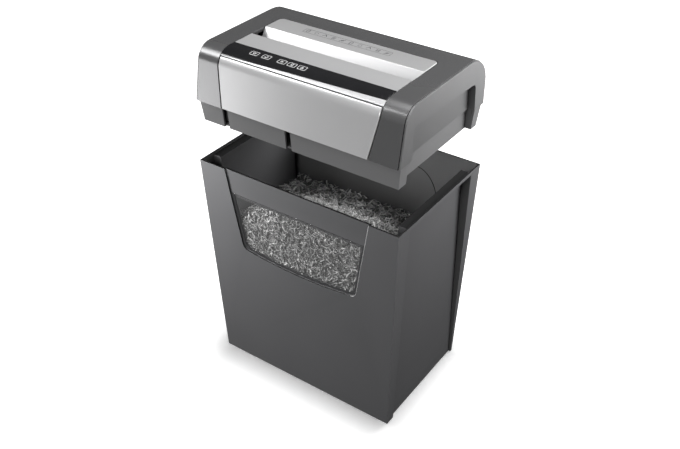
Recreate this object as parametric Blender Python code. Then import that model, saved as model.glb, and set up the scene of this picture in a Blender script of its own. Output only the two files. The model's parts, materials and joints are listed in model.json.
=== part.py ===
"""Cross-cut paper shredder: a cutting head that lifts off a tapered waste bin with a window.

Metres, +Z up, front of the machine towards -Y. The origin is the middle of the bin's underside.
The head is drawn raised off the bin, as it is when the bin is emptied.
"""

import math

import bmesh
import bpy
from mathutils import Matrix, Vector

# Bin, outside
BIN_HEIGHT = 0.3553
BIN_TOP = (0.1675, 0.1095)  # half width and half depth at the rim
BIN_BASE = (0.1557, 0.0987)  # half width and half depth on the floor
BIN_WALL = 0.0026
BIN_FLOOR = 0.0030

# Side recesses that run down the bin and up the head
RECESS_FRONT = -0.0820
RECESS_REAR_TOP = 0.0830
RECESS_REAR_BASE = 0.0945
RECESS_FACE_TOP = 0.1535
RECESS_FACE_BASE = 0.1523
RECESS_LIP = 0.0055
RECESS_LEDGE = 0.0030
RECESS_END_WALL = 0.0013

# Window panel pressed into the bin's front
PANEL_HALF_TOP = 0.1219
PANEL_HALF_BASE = 0.0999
PANEL_HEIGHT = 0.1320
PANEL_SAG = 0.0080
PANEL_CORNER = 0.0080
PANEL_DEPTH = 0.0023
PANE_TOP = 0.0380
PANE_THICKNESS = 0.0014
OPENING_TOP = 0.0440
OPENING_INSET = 0.0060

# Heap of cut paper: height of its lowest and highest parts below the rim
HEAP_LOW = 0.1280
HEAP_RISE = 0.0980
HEAP_PEAK_X = 0.0460
HEAP_SPREAD_X = 0.1610
HEAP_SPREAD_Y = 0.1100
HEAP_HALF_WIDTH = 0.1488
HEAP_CEILING = 0.0345  # the skirt's clearance below the rim when the head is seated

# Head casing: side profile in Y and Z, heights above the rim of the bin
LIFT = 0.0965  # how far the head is raised; its lower edge sits on the rim at 0
HEAD_END = 0.1638
HEAD_TOP = 0.1730
HEAD_FRONT = -0.1094
HEAD_REAR = 0.1080
NOSE_CENTRE = (-0.0730, 0.1465)
NOSE_RADIUS = 0.0265
TAIL_CENTRE = (0.0620, 0.1290)
SKIN = 0.0026
GAP = 0.0004
COVER_INSET = 0.0012
COVER_THICKNESS = 0.0022
CASING_END = HEAD_END - COVER_THICKNESS - GAP
POCKET_FACE = 0.1543
POCKET_FRONT = -0.0800
POCKET_TOP_FRONT = 0.1425
POCKET_TOP_REAR = 0.1370
POCKET_CORNER = 0.0090

OPENING_GAP = 0.0009
REAR_CUT = (0.0950, 0.1200)  # from inside the casing's back to outside it
VENT_X = (0.0150, 0.1050)
VENT_TOP = 0.1250
VENT_COUNT = 9
VENT_HALF_WIDTH = 0.0021
GLAND_PLACE = (-0.1100, BIN_HEIGHT + 0.1130)
GLAND_RADIUS = 0.0060
GLAND_FLANGE_RADIUS = 0.0085
GLAND_BORE_RADIUS = 0.0038

# Panels between the two shoulders of the casing
PANEL_EDGE = 0.1275
FRONT_PANEL_EDGE_BASE = 0.1178
FRONT_PANEL_KNEE = 0.1500
FRONT_PANEL_ANGLE = math.radians(136.1)
PANEL_SEAM = math.radians(1.2)  # half the joint between the front panel and the top trim
LIP_REAR = -0.0266
LIP_FOOT = 0.1660
STRIP_REAR = -0.0615
STRIP_FRONT_LEFT = -0.0916
STRIP_FRONT_RIGHT = -0.0848
STRIP_DEPTH = 0.0012
THROUGH_TOP = (BIN_HEIGHT + 0.160, BIN_HEIGHT + 0.180)  # heights that pass through the head's top
DECK_FRONT = 0.0031
DECK_REAR = 0.0395
DECK_CORNER = 0.0080
RAMP_FOOT = (-0.0125, 0.1500)

# Keys and indicator lenses on the control strip
KEY_Y = (-0.0800, -0.0695)
KEY_CENTRES = {"standby_key": -0.0826, "reverse_key": -0.0627}
LENS_CENTRES = {"ready_lens": -0.0373, "bin_full_lens": -0.0212, "jam_lens": -0.0051}
KEY_HALF = 0.0072

# Skirt under the casing, which nests in the bin
SKIRT_TOP = (0.1622, 0.1036)
SKIRT_BASE = (0.1587, 0.1006)
SKIRT_BOTTOM = 0.0635
SKIRT_WALL = 0.0024
SKIRT_RECESS_FACE = 0.1496
SKIRT_RECESS = (-0.0838, 0.0858)
SLOT_CENTRES = (-0.1175, -0.0110)
SLOT_WIDTH = 0.0092
BOSS_PLACES = ((0.1515, -0.0925), (0.1515, 0.0945))
BOSS_TOP = 0.1240
BOSS_RADIUS = 0.0036
WEB_HALF = 0.0010
SCREW_HOLE_RADIUS = 0.0019
SCREW_RADIUS = 0.0015
SCREW_HEAD_RADIUS = 0.0032
SCREW_STEPS = (  # height above the rim and radius, from the head's underside to the tip
    (0.0610, SCREW_HEAD_RADIUS),
    (0.0632, SCREW_HEAD_RADIUS),
    (0.0632, SCREW_RADIUS),
    (0.1150, SCREW_RADIUS),
)

# Cutting block
CUTTER_HEIGHT = 0.1030
FRONT_SHAFT_Y = -0.0355
REAR_SHAFT_Y = -0.0005
DISC_RADIUS = 0.0200
TOOTH_DEPTH = 0.0016
SPINDLE_RADIUS = 0.0130
JOURNAL_RADIUS = 0.0060
DISC_COUNT = 18
DISC_PITCH = 0.0120
DISC_THICKNESS = 0.0052
DISC_SIDES = 12
FIRST_DISC = -0.1145
LEFT_PLATE = (-0.1240, -0.1220)
RIGHT_PLATE = (0.1040, 0.1060)
GEAR_PLATE = (0.1380, 0.1400)
PLATE_BOTTOM = 0.0665
PLATE_TOP = 0.1460
BUSH_RADIUS = 0.0090
ROD_RADIUS = 0.0030
ROD_PLACES = ((-0.0570, 0.0780), (-0.0570, 0.1360), (0.0240, 0.0780), (0.0240, 0.1360))

# Gear train: module and tooth counts
SYNC_MODULE = 0.00175
SYNC_TEETH = 20
MAIN_TEETH = 33
SMALL_TEETH = 12
WHEEL_MODULE = 0.0014
WHEEL_TEETH = 38
PINION_TEETH = 10
IDLER_ANGLE = math.radians(22.0)
MOTOR_ANGLE = math.radians(-6.0)
MOTOR_RADIUS = 0.0270
MOTOR_ENDS = (0.0050, 0.1037)
MOTOR_SCREW_REACH = 0.0180
PINION_HOLE_RADIUS = 0.0086

# Where along X each gear's teeth lie, and the reach of the cutters that bore them
TIMING_X = (0.1090, 0.1160)
MAIN_X = (0.1190, 0.1260)
SMALL_X = (0.1185, 0.1292)
WHEEL_X = (0.1290, 0.1340)
PINION_X = (0.1280, 0.1350)
GEAR_BORE_X = (0.1000, 0.1300)
SHAFT_END_RADIUS = 0.0050
GEAR_BORE_RADIUS = 0.0053
AXLE_RADIUS = 0.0040

CLEARANCE = 0.0003

# Control board under the keys
BOARD_X = (-0.1000, 0.0200)
BOARD_Y = (-0.0880, -0.0500)
BOARD_BOTTOM = 0.1560


# ---------------------------------------------------------------- materials and mesh helpers


def make_material(name, colour, roughness, metallic=0.0, alpha=1.0):
    material = bpy.data.materials.new(name)
    material.use_nodes = True
    shader = material.node_tree.nodes["Principled BSDF"]
    shader.inputs["Base Color"].default_value = (*colour, 1.0)
    shader.inputs["Roughness"].default_value = roughness
    shader.inputs["Metallic"].default_value = metallic
    shader.inputs["Alpha"].default_value = alpha
    return material


def make_materials():
    return {
        "charcoal": make_material("charcoal", (0.10, 0.10, 0.10), 0.35, 0.4),
        "bin": make_material("bin", (0.07, 0.07, 0.07), 0.5),
        "cover": make_material("cover", (0.18, 0.18, 0.18), 0.4, 0.3),
        "skirt": make_material("skirt", (0.13, 0.13, 0.13), 0.45),
        "silver": make_material("silver", (0.62, 0.62, 0.62), 0.3, 0.6),
        "gloss_black": make_material("gloss_black", (0.015, 0.015, 0.015), 0.12),
        "lens": make_material("lens", (0.03, 0.03, 0.03), 0.15),
        "smoked_clear": make_material("smoked_clear", (0.25, 0.25, 0.25), 0.08, 0.0, 0.35),
        "paper": make_material("paper", (0.72, 0.72, 0.70), 0.8),
        "black_plastic": make_material("black_plastic", (0.02, 0.02, 0.02), 0.55),
        "steel": make_material("steel", (0.52, 0.53, 0.54), 0.35, 0.9),
        "zinc": make_material("zinc", (0.6, 0.6, 0.58), 0.4, 0.9),
        "nylon": make_material("nylon", (0.82, 0.80, 0.72), 0.5),
        "bronze": make_material("bronze", (0.52, 0.36, 0.18), 0.4, 0.9),
        "board": make_material("board", (0.03, 0.16, 0.07), 0.5),
        "magnet": make_material("magnet", (0.3, 0.3, 0.31), 0.35, 0.9),
    }


def make_object(name, bm, material=None):
    """Links a closed bmesh as an object, with its faces turned outward."""
    bmesh.ops.connect_verts_nonplanar(bm, angle_limit=math.radians(0.05), faces=bm.faces)
    bmesh.ops.recalc_face_normals(bm, faces=bm.faces)
    mesh = bpy.data.meshes.new(name)
    bm.to_mesh(mesh)
    bm.free()
    obj = bpy.data.objects.new(name, mesh)
    bpy.context.scene.collection.objects.link(obj)
    if material:
        mesh.materials.append(material)
    return obj


def loft(rings, bm=None):
    """A closed solid through rings that have the same number of points."""
    bm = bm or bmesh.new()
    rows = [[bm.verts.new(point) for point in ring] for ring in rings]
    count = len(rows[0])
    for low, high in zip(rows, rows[1:]):
        for i in range(count):
            j = (i + 1) % count
            bm.faces.new((low[i], low[j], high[j], high[i]))
    bm.faces.new(rows[0][::-1])
    bm.faces.new(rows[-1])
    return bm


def prism_x(outline, x_low, x_high, bm=None):
    return loft([[(x, y, z) for y, z in outline] for x in (x_low, x_high)], bm)


def prism_z(outline, z_low, z_high, bm=None):
    return loft([[(x, y, z) for x, y in outline] for z in (z_low, z_high)], bm)


def box(x, y, z, bm=None):
    """A box from three (low, high) pairs."""
    outline = ((x[0], y[0]), (x[1], y[0]), (x[1], y[1]), (x[0], y[1]))
    return prism_z(outline, z[0], z[1], bm)


def tapered_box(low_half, high_half, z_low, z_high, bm=None):
    rings = []
    for (half_x, half_y), z in ((low_half, z_low), (high_half, z_high)):
        rings.append([(-half_x, -half_y, z), (half_x, -half_y, z), (half_x, half_y, z), (-half_x, half_y, z)])
    return loft(rings, bm)


def circle(centre, radius, sides, phase=0.0):
    step = 2.0 * math.pi / sides
    return [
        (centre[0] + radius * math.cos(phase + step * i), centre[1] + radius * math.sin(phase + step * i))
        for i in range(sides)
    ]


def turned_x(steps, centre, sides, bm=None, phase=0.0):
    """A shaft along X: steps are (x, radius) pairs, and centre is its (y, z)."""
    rings = [[(x, y, z) for y, z in circle(centre, radius, sides, phase)] for x, radius in steps]
    return loft(rings, bm)


def arc(centre, radii, start, end, count):
    """Points along an ellipse's arc between two angles."""
    points = []
    for i in range(count + 1):
        angle = start + (end - start) * i / count
        points.append((centre[0] + radii[0] * math.cos(angle), centre[1] + radii[1] * math.sin(angle)))
    return points


def rounded_corner(start, corner, end, count):
    """Points of a smooth curve from start to end that is pulled towards corner."""
    points = []
    for i in range(count + 1):
        t = i / count
        weights = ((1 - t) ** 2, 2 * t * (1 - t), t * t)
        points.append(tuple(sum(w * p[k] for w, p in zip(weights, (start, corner, end))) for k in (0, 1)))
    return points


def combine(obj, other, operation):
    """Adds a Boolean that joins another shape to obj or cuts it out, and hides that shape."""
    modifier = obj.modifiers.new(f"{operation.lower()} {other.name}", "BOOLEAN")
    modifier.operation = operation
    modifier.solver = "EXACT"
    modifier.object = other
    other.hide_render = True
    other.display_type = "WIRE"


def cut(obj, name, bm):
    combine(obj, make_object(name, bm), "DIFFERENCE")


def join(obj, name, bm):
    combine(obj, make_object(name, bm), "UNION")


def round_shading(obj, angle=35.0):
    obj.data.shade_smooth()
    obj.data.set_sharp_from_angle(angle=math.radians(angle))


def attach(obj, parent, origin=None):
    """Puts obj's own origin on a joint's axis where one is given, and parents it in place."""
    if origin is not None:
        obj.data.transform(Matrix.Translation(-Vector(origin)))
        obj.location = origin
    obj.parent = parent
    obj.matrix_parent_inverse = Matrix.Translation(-world_place(parent))


def world_place(obj):
    place = Vector((0.0, 0.0, 0.0))
    while obj is not None:
        place += obj.location
        if obj.parent is not None:
            place += obj.matrix_parent_inverse.translation
        obj = obj.parent
    return place


# ---------------------------------------------------------------- bin


def bin_half(z, side):
    """Half width (side 0) or half depth (side 1) of the bin's outside at height z."""
    return BIN_BASE[side] + (BIN_TOP[side] - BIN_BASE[side]) * z / BIN_HEIGHT


def recess_rear(z):
    return RECESS_REAR_BASE + (RECESS_REAR_TOP - RECESS_REAR_BASE) * z / BIN_HEIGHT


def side_block(section, sign, margin):
    """A block down the bin's side from a section in X and Z; its ends follow the recess."""
    rings = [
        [(sign * x, RECESS_FRONT - margin, z) for x, z in section],
        [(sign * x, recess_rear(z) + margin, z) for x, z in section],
    ]
    return loft(rings)


def recess_section():
    outside = BIN_TOP[0] + 0.012
    shoulder = BIN_HEIGHT - RECESS_LIP
    below = -0.010
    return (
        (outside, shoulder),
        (RECESS_FACE_TOP, shoulder),
        (RECESS_FACE_BASE, below),
        (outside, below),
    )


def bulge_section():
    """The inside of the recess: the same shape one wall further in."""
    in_wall = BIN_WALL * 0.5
    low = BIN_FLOOR * 0.5
    ledge = BIN_HEIGHT - RECESS_LEDGE
    return (
        (bin_half(ledge, 0) - in_wall, ledge),
        (RECESS_FACE_TOP - BIN_WALL, ledge),
        (RECESS_FACE_BASE - BIN_WALL, low),
        (bin_half(low, 0) - in_wall, low),
    )


def panel_outline(inset, drop):
    """Outline in X and Z of the window panel, from drop below the rim down to its bowed lower edge."""
    lean = (PANEL_HALF_TOP - PANEL_HALF_BASE) / PANEL_HEIGHT
    z_top = BIN_HEIGHT - drop
    z_corner = BIN_HEIGHT - PANEL_HEIGHT + inset

    def edge(z):
        return PANEL_HALF_TOP - lean * (BIN_HEIGHT - z) - inset

    corner_x = edge(z_corner)

    def bow(x):
        return z_corner - PANEL_SAG * (1.0 - (x / corner_x) ** 2)

    right = [(edge(z_top), z_top)]
    corner_start = (edge(z_corner + PANEL_CORNER), z_corner + PANEL_CORNER)
    corner_end = (corner_x - PANEL_CORNER, bow(corner_x - PANEL_CORNER))
    right += rounded_corner(corner_start, (corner_x, z_corner), corner_end, 4)
    right += [(corner_x * k, bow(corner_x * k)) for k in (0.66, 0.33)]
    left = [(-x, z) for x, z in reversed(right)]
    return right + [(0.0, bow(0.0))] + left


def front_slab(outline, depth_low, depth_high):
    """A slab parallel to the bin's leaning front, between two depths behind its face."""
    rings = []
    for depth in (depth_low, depth_high):
        rings.append([(x, depth - bin_half(z, 1), z) for x, z in outline])
    return loft(rings)


def build_bin(materials):
    shell = make_object("bin_body", tapered_box(BIN_BASE, BIN_TOP, 0.0, BIN_HEIGHT), materials["bin"])
    above = BIN_HEIGHT + 0.010
    low = tuple(bin_half(BIN_FLOOR, side) - BIN_WALL for side in (0, 1))
    high = tuple(bin_half(above, side) - BIN_WALL for side in (0, 1))
    cut(shell, "bin_cavity", tapered_box(low, high, BIN_FLOOR, above))
    backing = front_slab(panel_outline(-0.0015, 0.0), 0.0010, PANEL_DEPTH + 0.0030)
    join(shell, "panel_backing", backing)
    for sign, side in ((-1, "left"), (1, "right")):
        join(shell, f"{side}_bulge", side_block(bulge_section(), sign, RECESS_END_WALL))
        cut(shell, f"{side}_bin_recess", side_block(recess_section(), sign, 0.0))
    cut(shell, "panel_recess", front_slab(panel_outline(0.0, -0.010), -0.010, PANEL_DEPTH))
    seat_depth = PANEL_DEPTH + PANE_THICKNESS + CLEARANCE
    cut(shell, "pane_seat", front_slab(panel_outline(0.0010, PANE_TOP), 0.0010, seat_depth))
    cut(shell, "window_opening", front_slab(panel_outline(OPENING_INSET, OPENING_TOP), -0.010, 0.020))
    for number, x in enumerate(SLOT_CENTRES):
        rib = box((x - 0.003, x + 0.003), (-0.1060, -0.1018), (BIN_HEIGHT - 0.034, BIN_HEIGHT - 0.004))
        join(shell, f"guide_rib_{number}", rib)

    pane = front_slab(panel_outline(0.0014, PANE_TOP + 0.0004), PANEL_DEPTH, PANEL_DEPTH + PANE_THICKNESS)
    make_object("window_pane", pane, materials["smoked_clear"])

    x = SLOT_CENTRES[0]
    magnet = box((x - 0.0025, x + 0.0025), (-0.1015, -0.1000), (BIN_HEIGHT - 0.024, BIN_HEIGHT - 0.012))
    make_object("interlock_magnet", magnet, materials["magnet"])
    build_heap(materials)


def heap_height(x, y):
    across = math.exp(-(((x - HEAP_PEAK_X) / HEAP_SPREAD_X) ** 4))
    back = math.exp(-(((y + 0.100) / HEAP_SPREAD_Y) ** 2))
    ripple = 0.0016 * math.sin(x * 95.0 + y * 40.0) + 0.0012 * math.sin(y * 130.0 - x * 55.0)
    return BIN_HEIGHT + min(HEAP_RISE * across * back - HEAP_LOW + ripple, -HEAP_CEILING)


def build_heap(materials):
    """The bin's contents: a closed body with a mounded top."""
    columns, rows = 24, 16
    y_front, y_rear = -0.1000, 0.1010
    base_front, base_rear = -0.0950, 0.0950
    base_z = BIN_FLOOR + CLEARANCE
    bm = bmesh.new()
    grid = []
    for j in range(rows + 1):
        y = y_front + (y_rear - y_front) * j / rows
        row = []
        for i in range(columns + 1):
            x = HEAP_HALF_WIDTH * (2.0 * i / columns - 1.0)
            row.append(bm.verts.new((x, y, heap_height(x, y))))
        grid.append(row)
    for low, high in zip(grid, grid[1:]):
        for i in range(columns):
            bm.faces.new((low[i], low[i + 1], high[i + 1], high[i]))
    corners = [
        bm.verts.new((sx * HEAP_HALF_WIDTH, base_front if sy < 0 else base_rear, base_z))
        for sx, sy in ((-1, -1), (1, -1), (1, 1), (-1, 1))
    ]
    bm.faces.new(corners[::-1])
    edges = (
        grid[0],
        [row[-1] for row in grid],
        grid[-1][::-1],
        [row[0] for row in grid][::-1],
    )
    for k, edge in enumerate(edges):
        bm.faces.new([corners[k], corners[(k + 1) % 4]] + edge[::-1])
    bmesh.ops.triangulate(bm, faces=bm.faces)
    make_object("paper_shreds", bm, materials["paper"])


# ---------------------------------------------------------------- head casing and panels


def nose_start():
    """The angle on the nose at which the casing's leaning front meets it."""
    dy = NOSE_CENTRE[0] - HEAD_FRONT
    dz = NOSE_CENTRE[1] - LIFT
    lean = math.atan2(dz, dy) + math.asin(NOSE_RADIUS / math.hypot(dy, dz))
    return lean + math.pi / 2.0


def front_foot(offset):
    """Where the leaning front, moved inward by offset, reaches the casing's lower edge."""
    angle = nose_start()
    radius = NOSE_RADIUS - offset
    y = NOSE_CENTRE[0] + radius * math.cos(angle)
    z = NOSE_CENTRE[1] + radius * math.sin(angle)
    return (y + (z - LIFT) * math.tan(angle), LIFT)


def nose_points(offset, start, end, count):
    radius = NOSE_RADIUS - offset
    return arc(NOSE_CENTRE, (radius, radius), start, end, count)


def head_outline(offset, z_low=LIFT):
    """The casing's side profile in Y and Z, moved inward by offset, from front foot to rear foot."""
    tail = (HEAD_REAR - TAIL_CENTRE[0] - offset, HEAD_TOP - TAIL_CENTRE[1] - offset)
    points = [front_foot(offset)]
    points += nose_points(offset, nose_start(), math.pi / 2.0, 8)
    points += arc(TAIL_CENTRE, tail, math.pi / 2.0, 0.0, 9)
    points.append((HEAD_REAR - offset, z_low))
    return points


def raise_all(points):
    """Heights above the rim turned into heights above the floor."""
    return [(y, z + BIN_HEIGHT) for y, z in points]


def lifted(z):
    return z + BIN_HEIGHT


def bent_plate(outer, inner, widths):
    """A plate bent along X-wide lines: outer and inner are matching (y, z) rows, widths its half widths."""
    rings = []
    for (yo, zo), (yi, zi), half in zip(outer, inner, widths):
        rings.append(
            [
                (-half, yo, lifted(zo)),
                (half, yo, lifted(zo)),
                (half, yi, lifted(zi)),
                (-half, yi, lifted(zi)),
            ]
        )
    return loft(rings)


def front_edge(z):
    """Half width of the front panel at height z above the rim."""
    if z >= FRONT_PANEL_KNEE:
        return PANEL_EDGE
    share = (z - LIFT) / (FRONT_PANEL_KNEE - LIFT)
    return FRONT_PANEL_EDGE_BASE + (PANEL_EDGE - FRONT_PANEL_EDGE_BASE) * share


def deck_corner():
    """The rounded rear corner of the casing's opening, as (x, y) points from its side to its back."""
    edge = PANEL_EDGE + OPENING_GAP
    rear = DECK_REAR + OPENING_GAP
    return rounded_corner((edge, rear - DECK_CORNER), (edge, rear), (edge - DECK_CORNER, rear), 4)


def casing_profile(offset):
    """Rows of (y, z) over the nose, along the opening's rear corners and over the tail."""
    seam = FRONT_PANEL_ANGLE + PANEL_SEAM
    nose = [front_foot(offset)] + nose_points(offset, nose_start(), seam, 5)
    nose += nose_points(offset, seam, math.pi / 2.0, 4)[1:]
    corner = [(y, HEAD_TOP - offset) for x, y in deck_corner()]
    tail_size = (HEAD_REAR - TAIL_CENTRE[0] - offset, HEAD_TOP - TAIL_CENTRE[1] - offset)
    tail = arc(TAIL_CENTRE, tail_size, math.pi / 2.0, 0.0, 9) + [(HEAD_REAR - offset, LIFT)]
    return nose, corner, tail


def casing_bmesh():
    """The casing's bent shell, open in its middle from the front foot back to the deck's rear edge."""
    nose, corner, tail = casing_profile(0.0)
    half_widths = [front_edge(z) + OPENING_GAP for y, z in nose] + [x for x, y in deck_corner()]
    last_open = len(half_widths) - 1
    last = len(nose + corner + tail) - 1
    bm = bmesh.new()
    skins = []
    for rows in (nose + corner + tail, sum(casing_profile(SKIN), [])):
        skin = []
        for i, (y, z) in enumerate(rows):
            inner_edge = (-half_widths[i], half_widths[i]) if i <= last_open else ()
            skin.append([bm.verts.new((x, y, lifted(z))) for x in (-CASING_END, *inner_edge, CASING_END)])
        for i, (low, high) in enumerate(zip(skin, skin[1:])):
            if i < last_open:
                bm.faces.new((low[0], low[1], high[1], high[0]))
                bm.faces.new((low[2], low[3], high[3], high[2]))
            else:
                bm.faces.new(low + high[::-1])
        skins.append(skin)
    outside, inside = skins
    for i in range(last):
        for k in (0, 1, 2, 3) if i < last_open else (0, -1):
            bm.faces.new((outside[i][k], outside[i + 1][k], inside[i + 1][k], inside[i][k]))
    for i, a, b in ((0, 0, 1), (0, 2, 3), (last_open, 1, 2), (last, 0, 1)):
        bm.faces.new((outside[i][a], outside[i][b], inside[i][b], inside[i][a]))
    return bm


def build_casing(materials, head):
    casing = make_object("head_casing", casing_bmesh(), materials["charcoal"])
    vent = box(VENT_X, REAR_CUT, (lifted(LIFT - 0.0100), lifted(VENT_TOP)))
    cut(casing, "vent_opening", vent)
    cut(casing, "gland_hole", turned_y(REAR_CUT, GLAND_PLACE, GLAND_RADIUS + CLEARANCE, 16))
    round_shading(casing)
    attach(casing, head)

    gland = turned_y((0.1036, 0.1092), GLAND_PLACE, GLAND_RADIUS, 16)
    gland = make_object("cord_gland", gland, materials["black_plastic"])
    join(gland, "gland_flange", turned_y((0.1012, 0.1050), GLAND_PLACE, GLAND_FLANGE_RADIUS, 16))
    cut(gland, "gland_bore", turned_y((0.0900, 0.1200), GLAND_PLACE, GLAND_BORE_RADIUS, 16))
    attach(gland, head)


def build_vent_grille(materials, head):
    """Slotted insert that fills the opening in the casing's back."""
    gap = CLEARANCE
    x = (VENT_X[0] + gap, VENT_X[1] - gap)
    z = (lifted(LIFT + gap), lifted(VENT_TOP - gap))
    grille = make_object("vent_grille", box(x, (0.1030, 0.1076), z), materials["black_plastic"])
    pitch = (x[1] - x[0]) / VENT_COUNT
    for number in range(VENT_COUNT):
        middle = x[0] + pitch * (number + 0.5)
        across = (middle - VENT_HALF_WIDTH, middle + VENT_HALF_WIDTH)
        cut(grille, f"vent_{number}", box(across, REAR_CUT, (z[0] + 0.0050, z[1] - 0.0025)))
    attach(grille, head)


def turned_y(ends, centre, radius, sides):
    """A cylinder along Y: centre is its (x, z)."""
    return loft([[(x, y, z) for x, z in circle(centre, radius, sides)] for y in ends])


def pocket_outline(margin):
    """Outline in Y and Z of the hand recess in the head's side, open at its lower edge."""
    low = LIFT - 0.010 if margin == 0.0 else LIFT
    front = POCKET_FRONT - margin
    rear_low = 0.0825 + margin
    rear_high = 0.0790 + margin
    top_front = POCKET_TOP_FRONT + margin
    top_rear = POCKET_TOP_REAR + margin
    corner = POCKET_CORNER + margin
    points = [(front, low)]
    points += rounded_corner((front, top_front - corner), (front, top_front), (front + corner, top_front), 4)
    rear_turn = ((rear_high - corner, top_rear), (rear_high, top_rear), (rear_high, top_rear - corner))
    points += rounded_corner(*rear_turn, 4)
    points.append((rear_low, low))
    return raise_all(points)


def build_side_covers(materials, head):
    for sign, name in ((-1, "left_side_cover"), (1, "right_side_cover")):
        outline = raise_all(head_outline(COVER_INSET))
        inner_face = HEAD_END - COVER_THICKNESS
        cover = make_object(name, prism_x(outline, sign * inner_face, sign * HEAD_END), materials["cover"])
        pocket_back = sign * (POCKET_FACE - COVER_THICKNESS)
        walls = prism_x(pocket_outline(COVER_THICKNESS), pocket_back, sign * (HEAD_END - 0.0004))
        join(cover, f"{name}_pocket_walls", walls)
        cut(cover, f"{name}_pocket", prism_x(pocket_outline(0.0), sign * POCKET_FACE, sign * 0.18))
        for x, y in BOSS_PLACES:
            place = f"{name}_{'front' if y < 0 else 'rear'}"
            foot = lifted(LIFT + CLEARANCE)
            across = sorted((sign * x, sign * (inner_face + 0.0010)))
            web = box(across, (y - WEB_HALF, y + WEB_HALF), (foot, lifted(BOSS_TOP)))
            join(cover, f"{place}_web", web)
            boss = prism_z(circle((sign * x, y), BOSS_RADIUS, 12), foot, lifted(BOSS_TOP))
            join(cover, f"{place}_boss", boss)
            pilot_top = lifted(BOSS_TOP - 0.0040)
            pilot = prism_z(circle((sign * x, y), SCREW_HOLE_RADIUS, 12), lifted(LIFT - 0.0050), pilot_top)
            cut(cover, f"{place}_pilot", pilot)
        round_shading(cover)
        attach(cover, head)


def build_front_panel(materials, head):
    rows = []
    for offset in (0.0, SKIN):
        points = [front_foot(offset)]
        points += nose_points(offset, nose_start(), FRONT_PANEL_ANGLE + PANEL_SEAM, 5)
        rows.append(points)
    widths = [front_edge(z) for y, z in rows[0]]
    panel = make_object("front_panel", bent_plate(rows[0], rows[1], widths), materials["silver"])
    round_shading(panel)
    attach(panel, head)


def trim_rows(offset, rear):
    """The top trim's row of points over the nose and back to rear."""
    points = nose_points(offset, FRONT_PANEL_ANGLE - PANEL_SEAM, math.pi / 2.0, 5)
    points.append((rear, HEAD_TOP - offset))
    return points


def strip_body(name, shrink, depths, rear, material=None):
    """The control strip's body, whose front edge runs at a slight angle across the nose."""
    half = PANEL_EDGE - shrink
    start = math.acos((STRIP_FRONT_LEFT - 0.0008 - NOSE_CENTRE[0]) / NOSE_RADIUS)
    outer = nose_points(depths[0], start, math.pi / 2.0, 6) + [(rear, HEAD_TOP - depths[0])]
    inner = nose_points(depths[1], start, math.pi / 2.0, 6) + [(rear, HEAD_TOP - depths[1])]
    body = make_object(name, prism_x(raise_all(outer + inner[::-1]), -half, half), material)
    end = PANEL_EDGE + 0.010
    ahead = -0.1300
    edge = ((-end, ahead), (end, ahead), (end, STRIP_FRONT_RIGHT + shrink), (-end, STRIP_FRONT_LEFT + shrink))
    cut(body, f"{name}_front_edge", prism_z(edge, lifted(0.1500), lifted(0.1800)))
    return body


def key_hole(x, margin):
    half = KEY_HALF + margin
    return box((x - half, x + half), (KEY_Y[0] - margin, KEY_Y[1] + margin), THROUGH_TOP)


def build_top_trim(materials, head):
    """Silver trim from the front panel to the paper slot, with the control strip let into it."""
    outer = trim_rows(0.0, LIP_REAR)
    inner = trim_rows(SKIN, LIP_REAR)
    widths = [PANEL_EDGE] * len(outer)
    trim = make_object("top_trim", bent_plate(outer, inner, widths), materials["silver"])
    lip_height = (lifted(LIP_FOOT), lifted(HEAD_TOP - 0.0005))
    join(trim, "slot_lip", box((-PANEL_EDGE, PANEL_EDGE), (LIP_REAR - 0.0018, LIP_REAR), lip_height))
    pocket = strip_body("strip_pocket", 0.0, (-0.004, STRIP_DEPTH + CLEARANCE), STRIP_REAR)
    combine(trim, pocket, "DIFFERENCE")
    rear = STRIP_REAR - CLEARANCE
    strip = strip_body("control_strip", CLEARANCE, (0.0, STRIP_DEPTH), rear, materials["gloss_black"])
    for name, x in {**KEY_CENTRES, **LENS_CENTRES}.items():
        cut(trim, f"{name}_trim_hole", key_hole(x, 0.0))
        cut(strip, f"{name}_strip_hole", key_hole(x, 0.0))
    round_shading(trim)
    round_shading(strip)
    attach(trim, head)
    attach(strip, head)


def key_cap(x, bottom):
    """A key or lens whose top follows the nose's curve."""
    half = KEY_HALF - CLEARANCE
    rings = []
    for k in range(4):
        y = KEY_Y[0] + CLEARANCE + (KEY_Y[1] - KEY_Y[0] - 2.0 * CLEARANCE) * k / 3.0
        drop = min(y - NOSE_CENTRE[0], 0.0)
        top = NOSE_CENTRE[1] + math.sqrt(NOSE_RADIUS**2 - drop**2)
        low = [(x - half, y, lifted(bottom)), (x + half, y, lifted(bottom))]
        rings.append(low + [(x + half, y, lifted(top)), (x - half, y, lifted(top))])
    return loft(rings)


def build_keys(materials, head):
    for name, x in KEY_CENTRES.items():
        middle = (x, (KEY_Y[0] + KEY_Y[1]) / 2.0, lifted(HEAD_TOP))
        key = make_object(name, key_cap(x, 0.1712), materials["gloss_black"])
        stem = box((x - 0.0020, x + 0.0020), (-0.0768, -0.0728), (lifted(0.1616), lifted(0.1718)))
        join(key, f"{name}_stem", stem)
        attach(key, head, middle)
    for name, x in LENS_CENTRES.items():
        lens = make_object(name, key_cap(x, 0.1704), materials["lens"])
        attach(lens, head)


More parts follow.
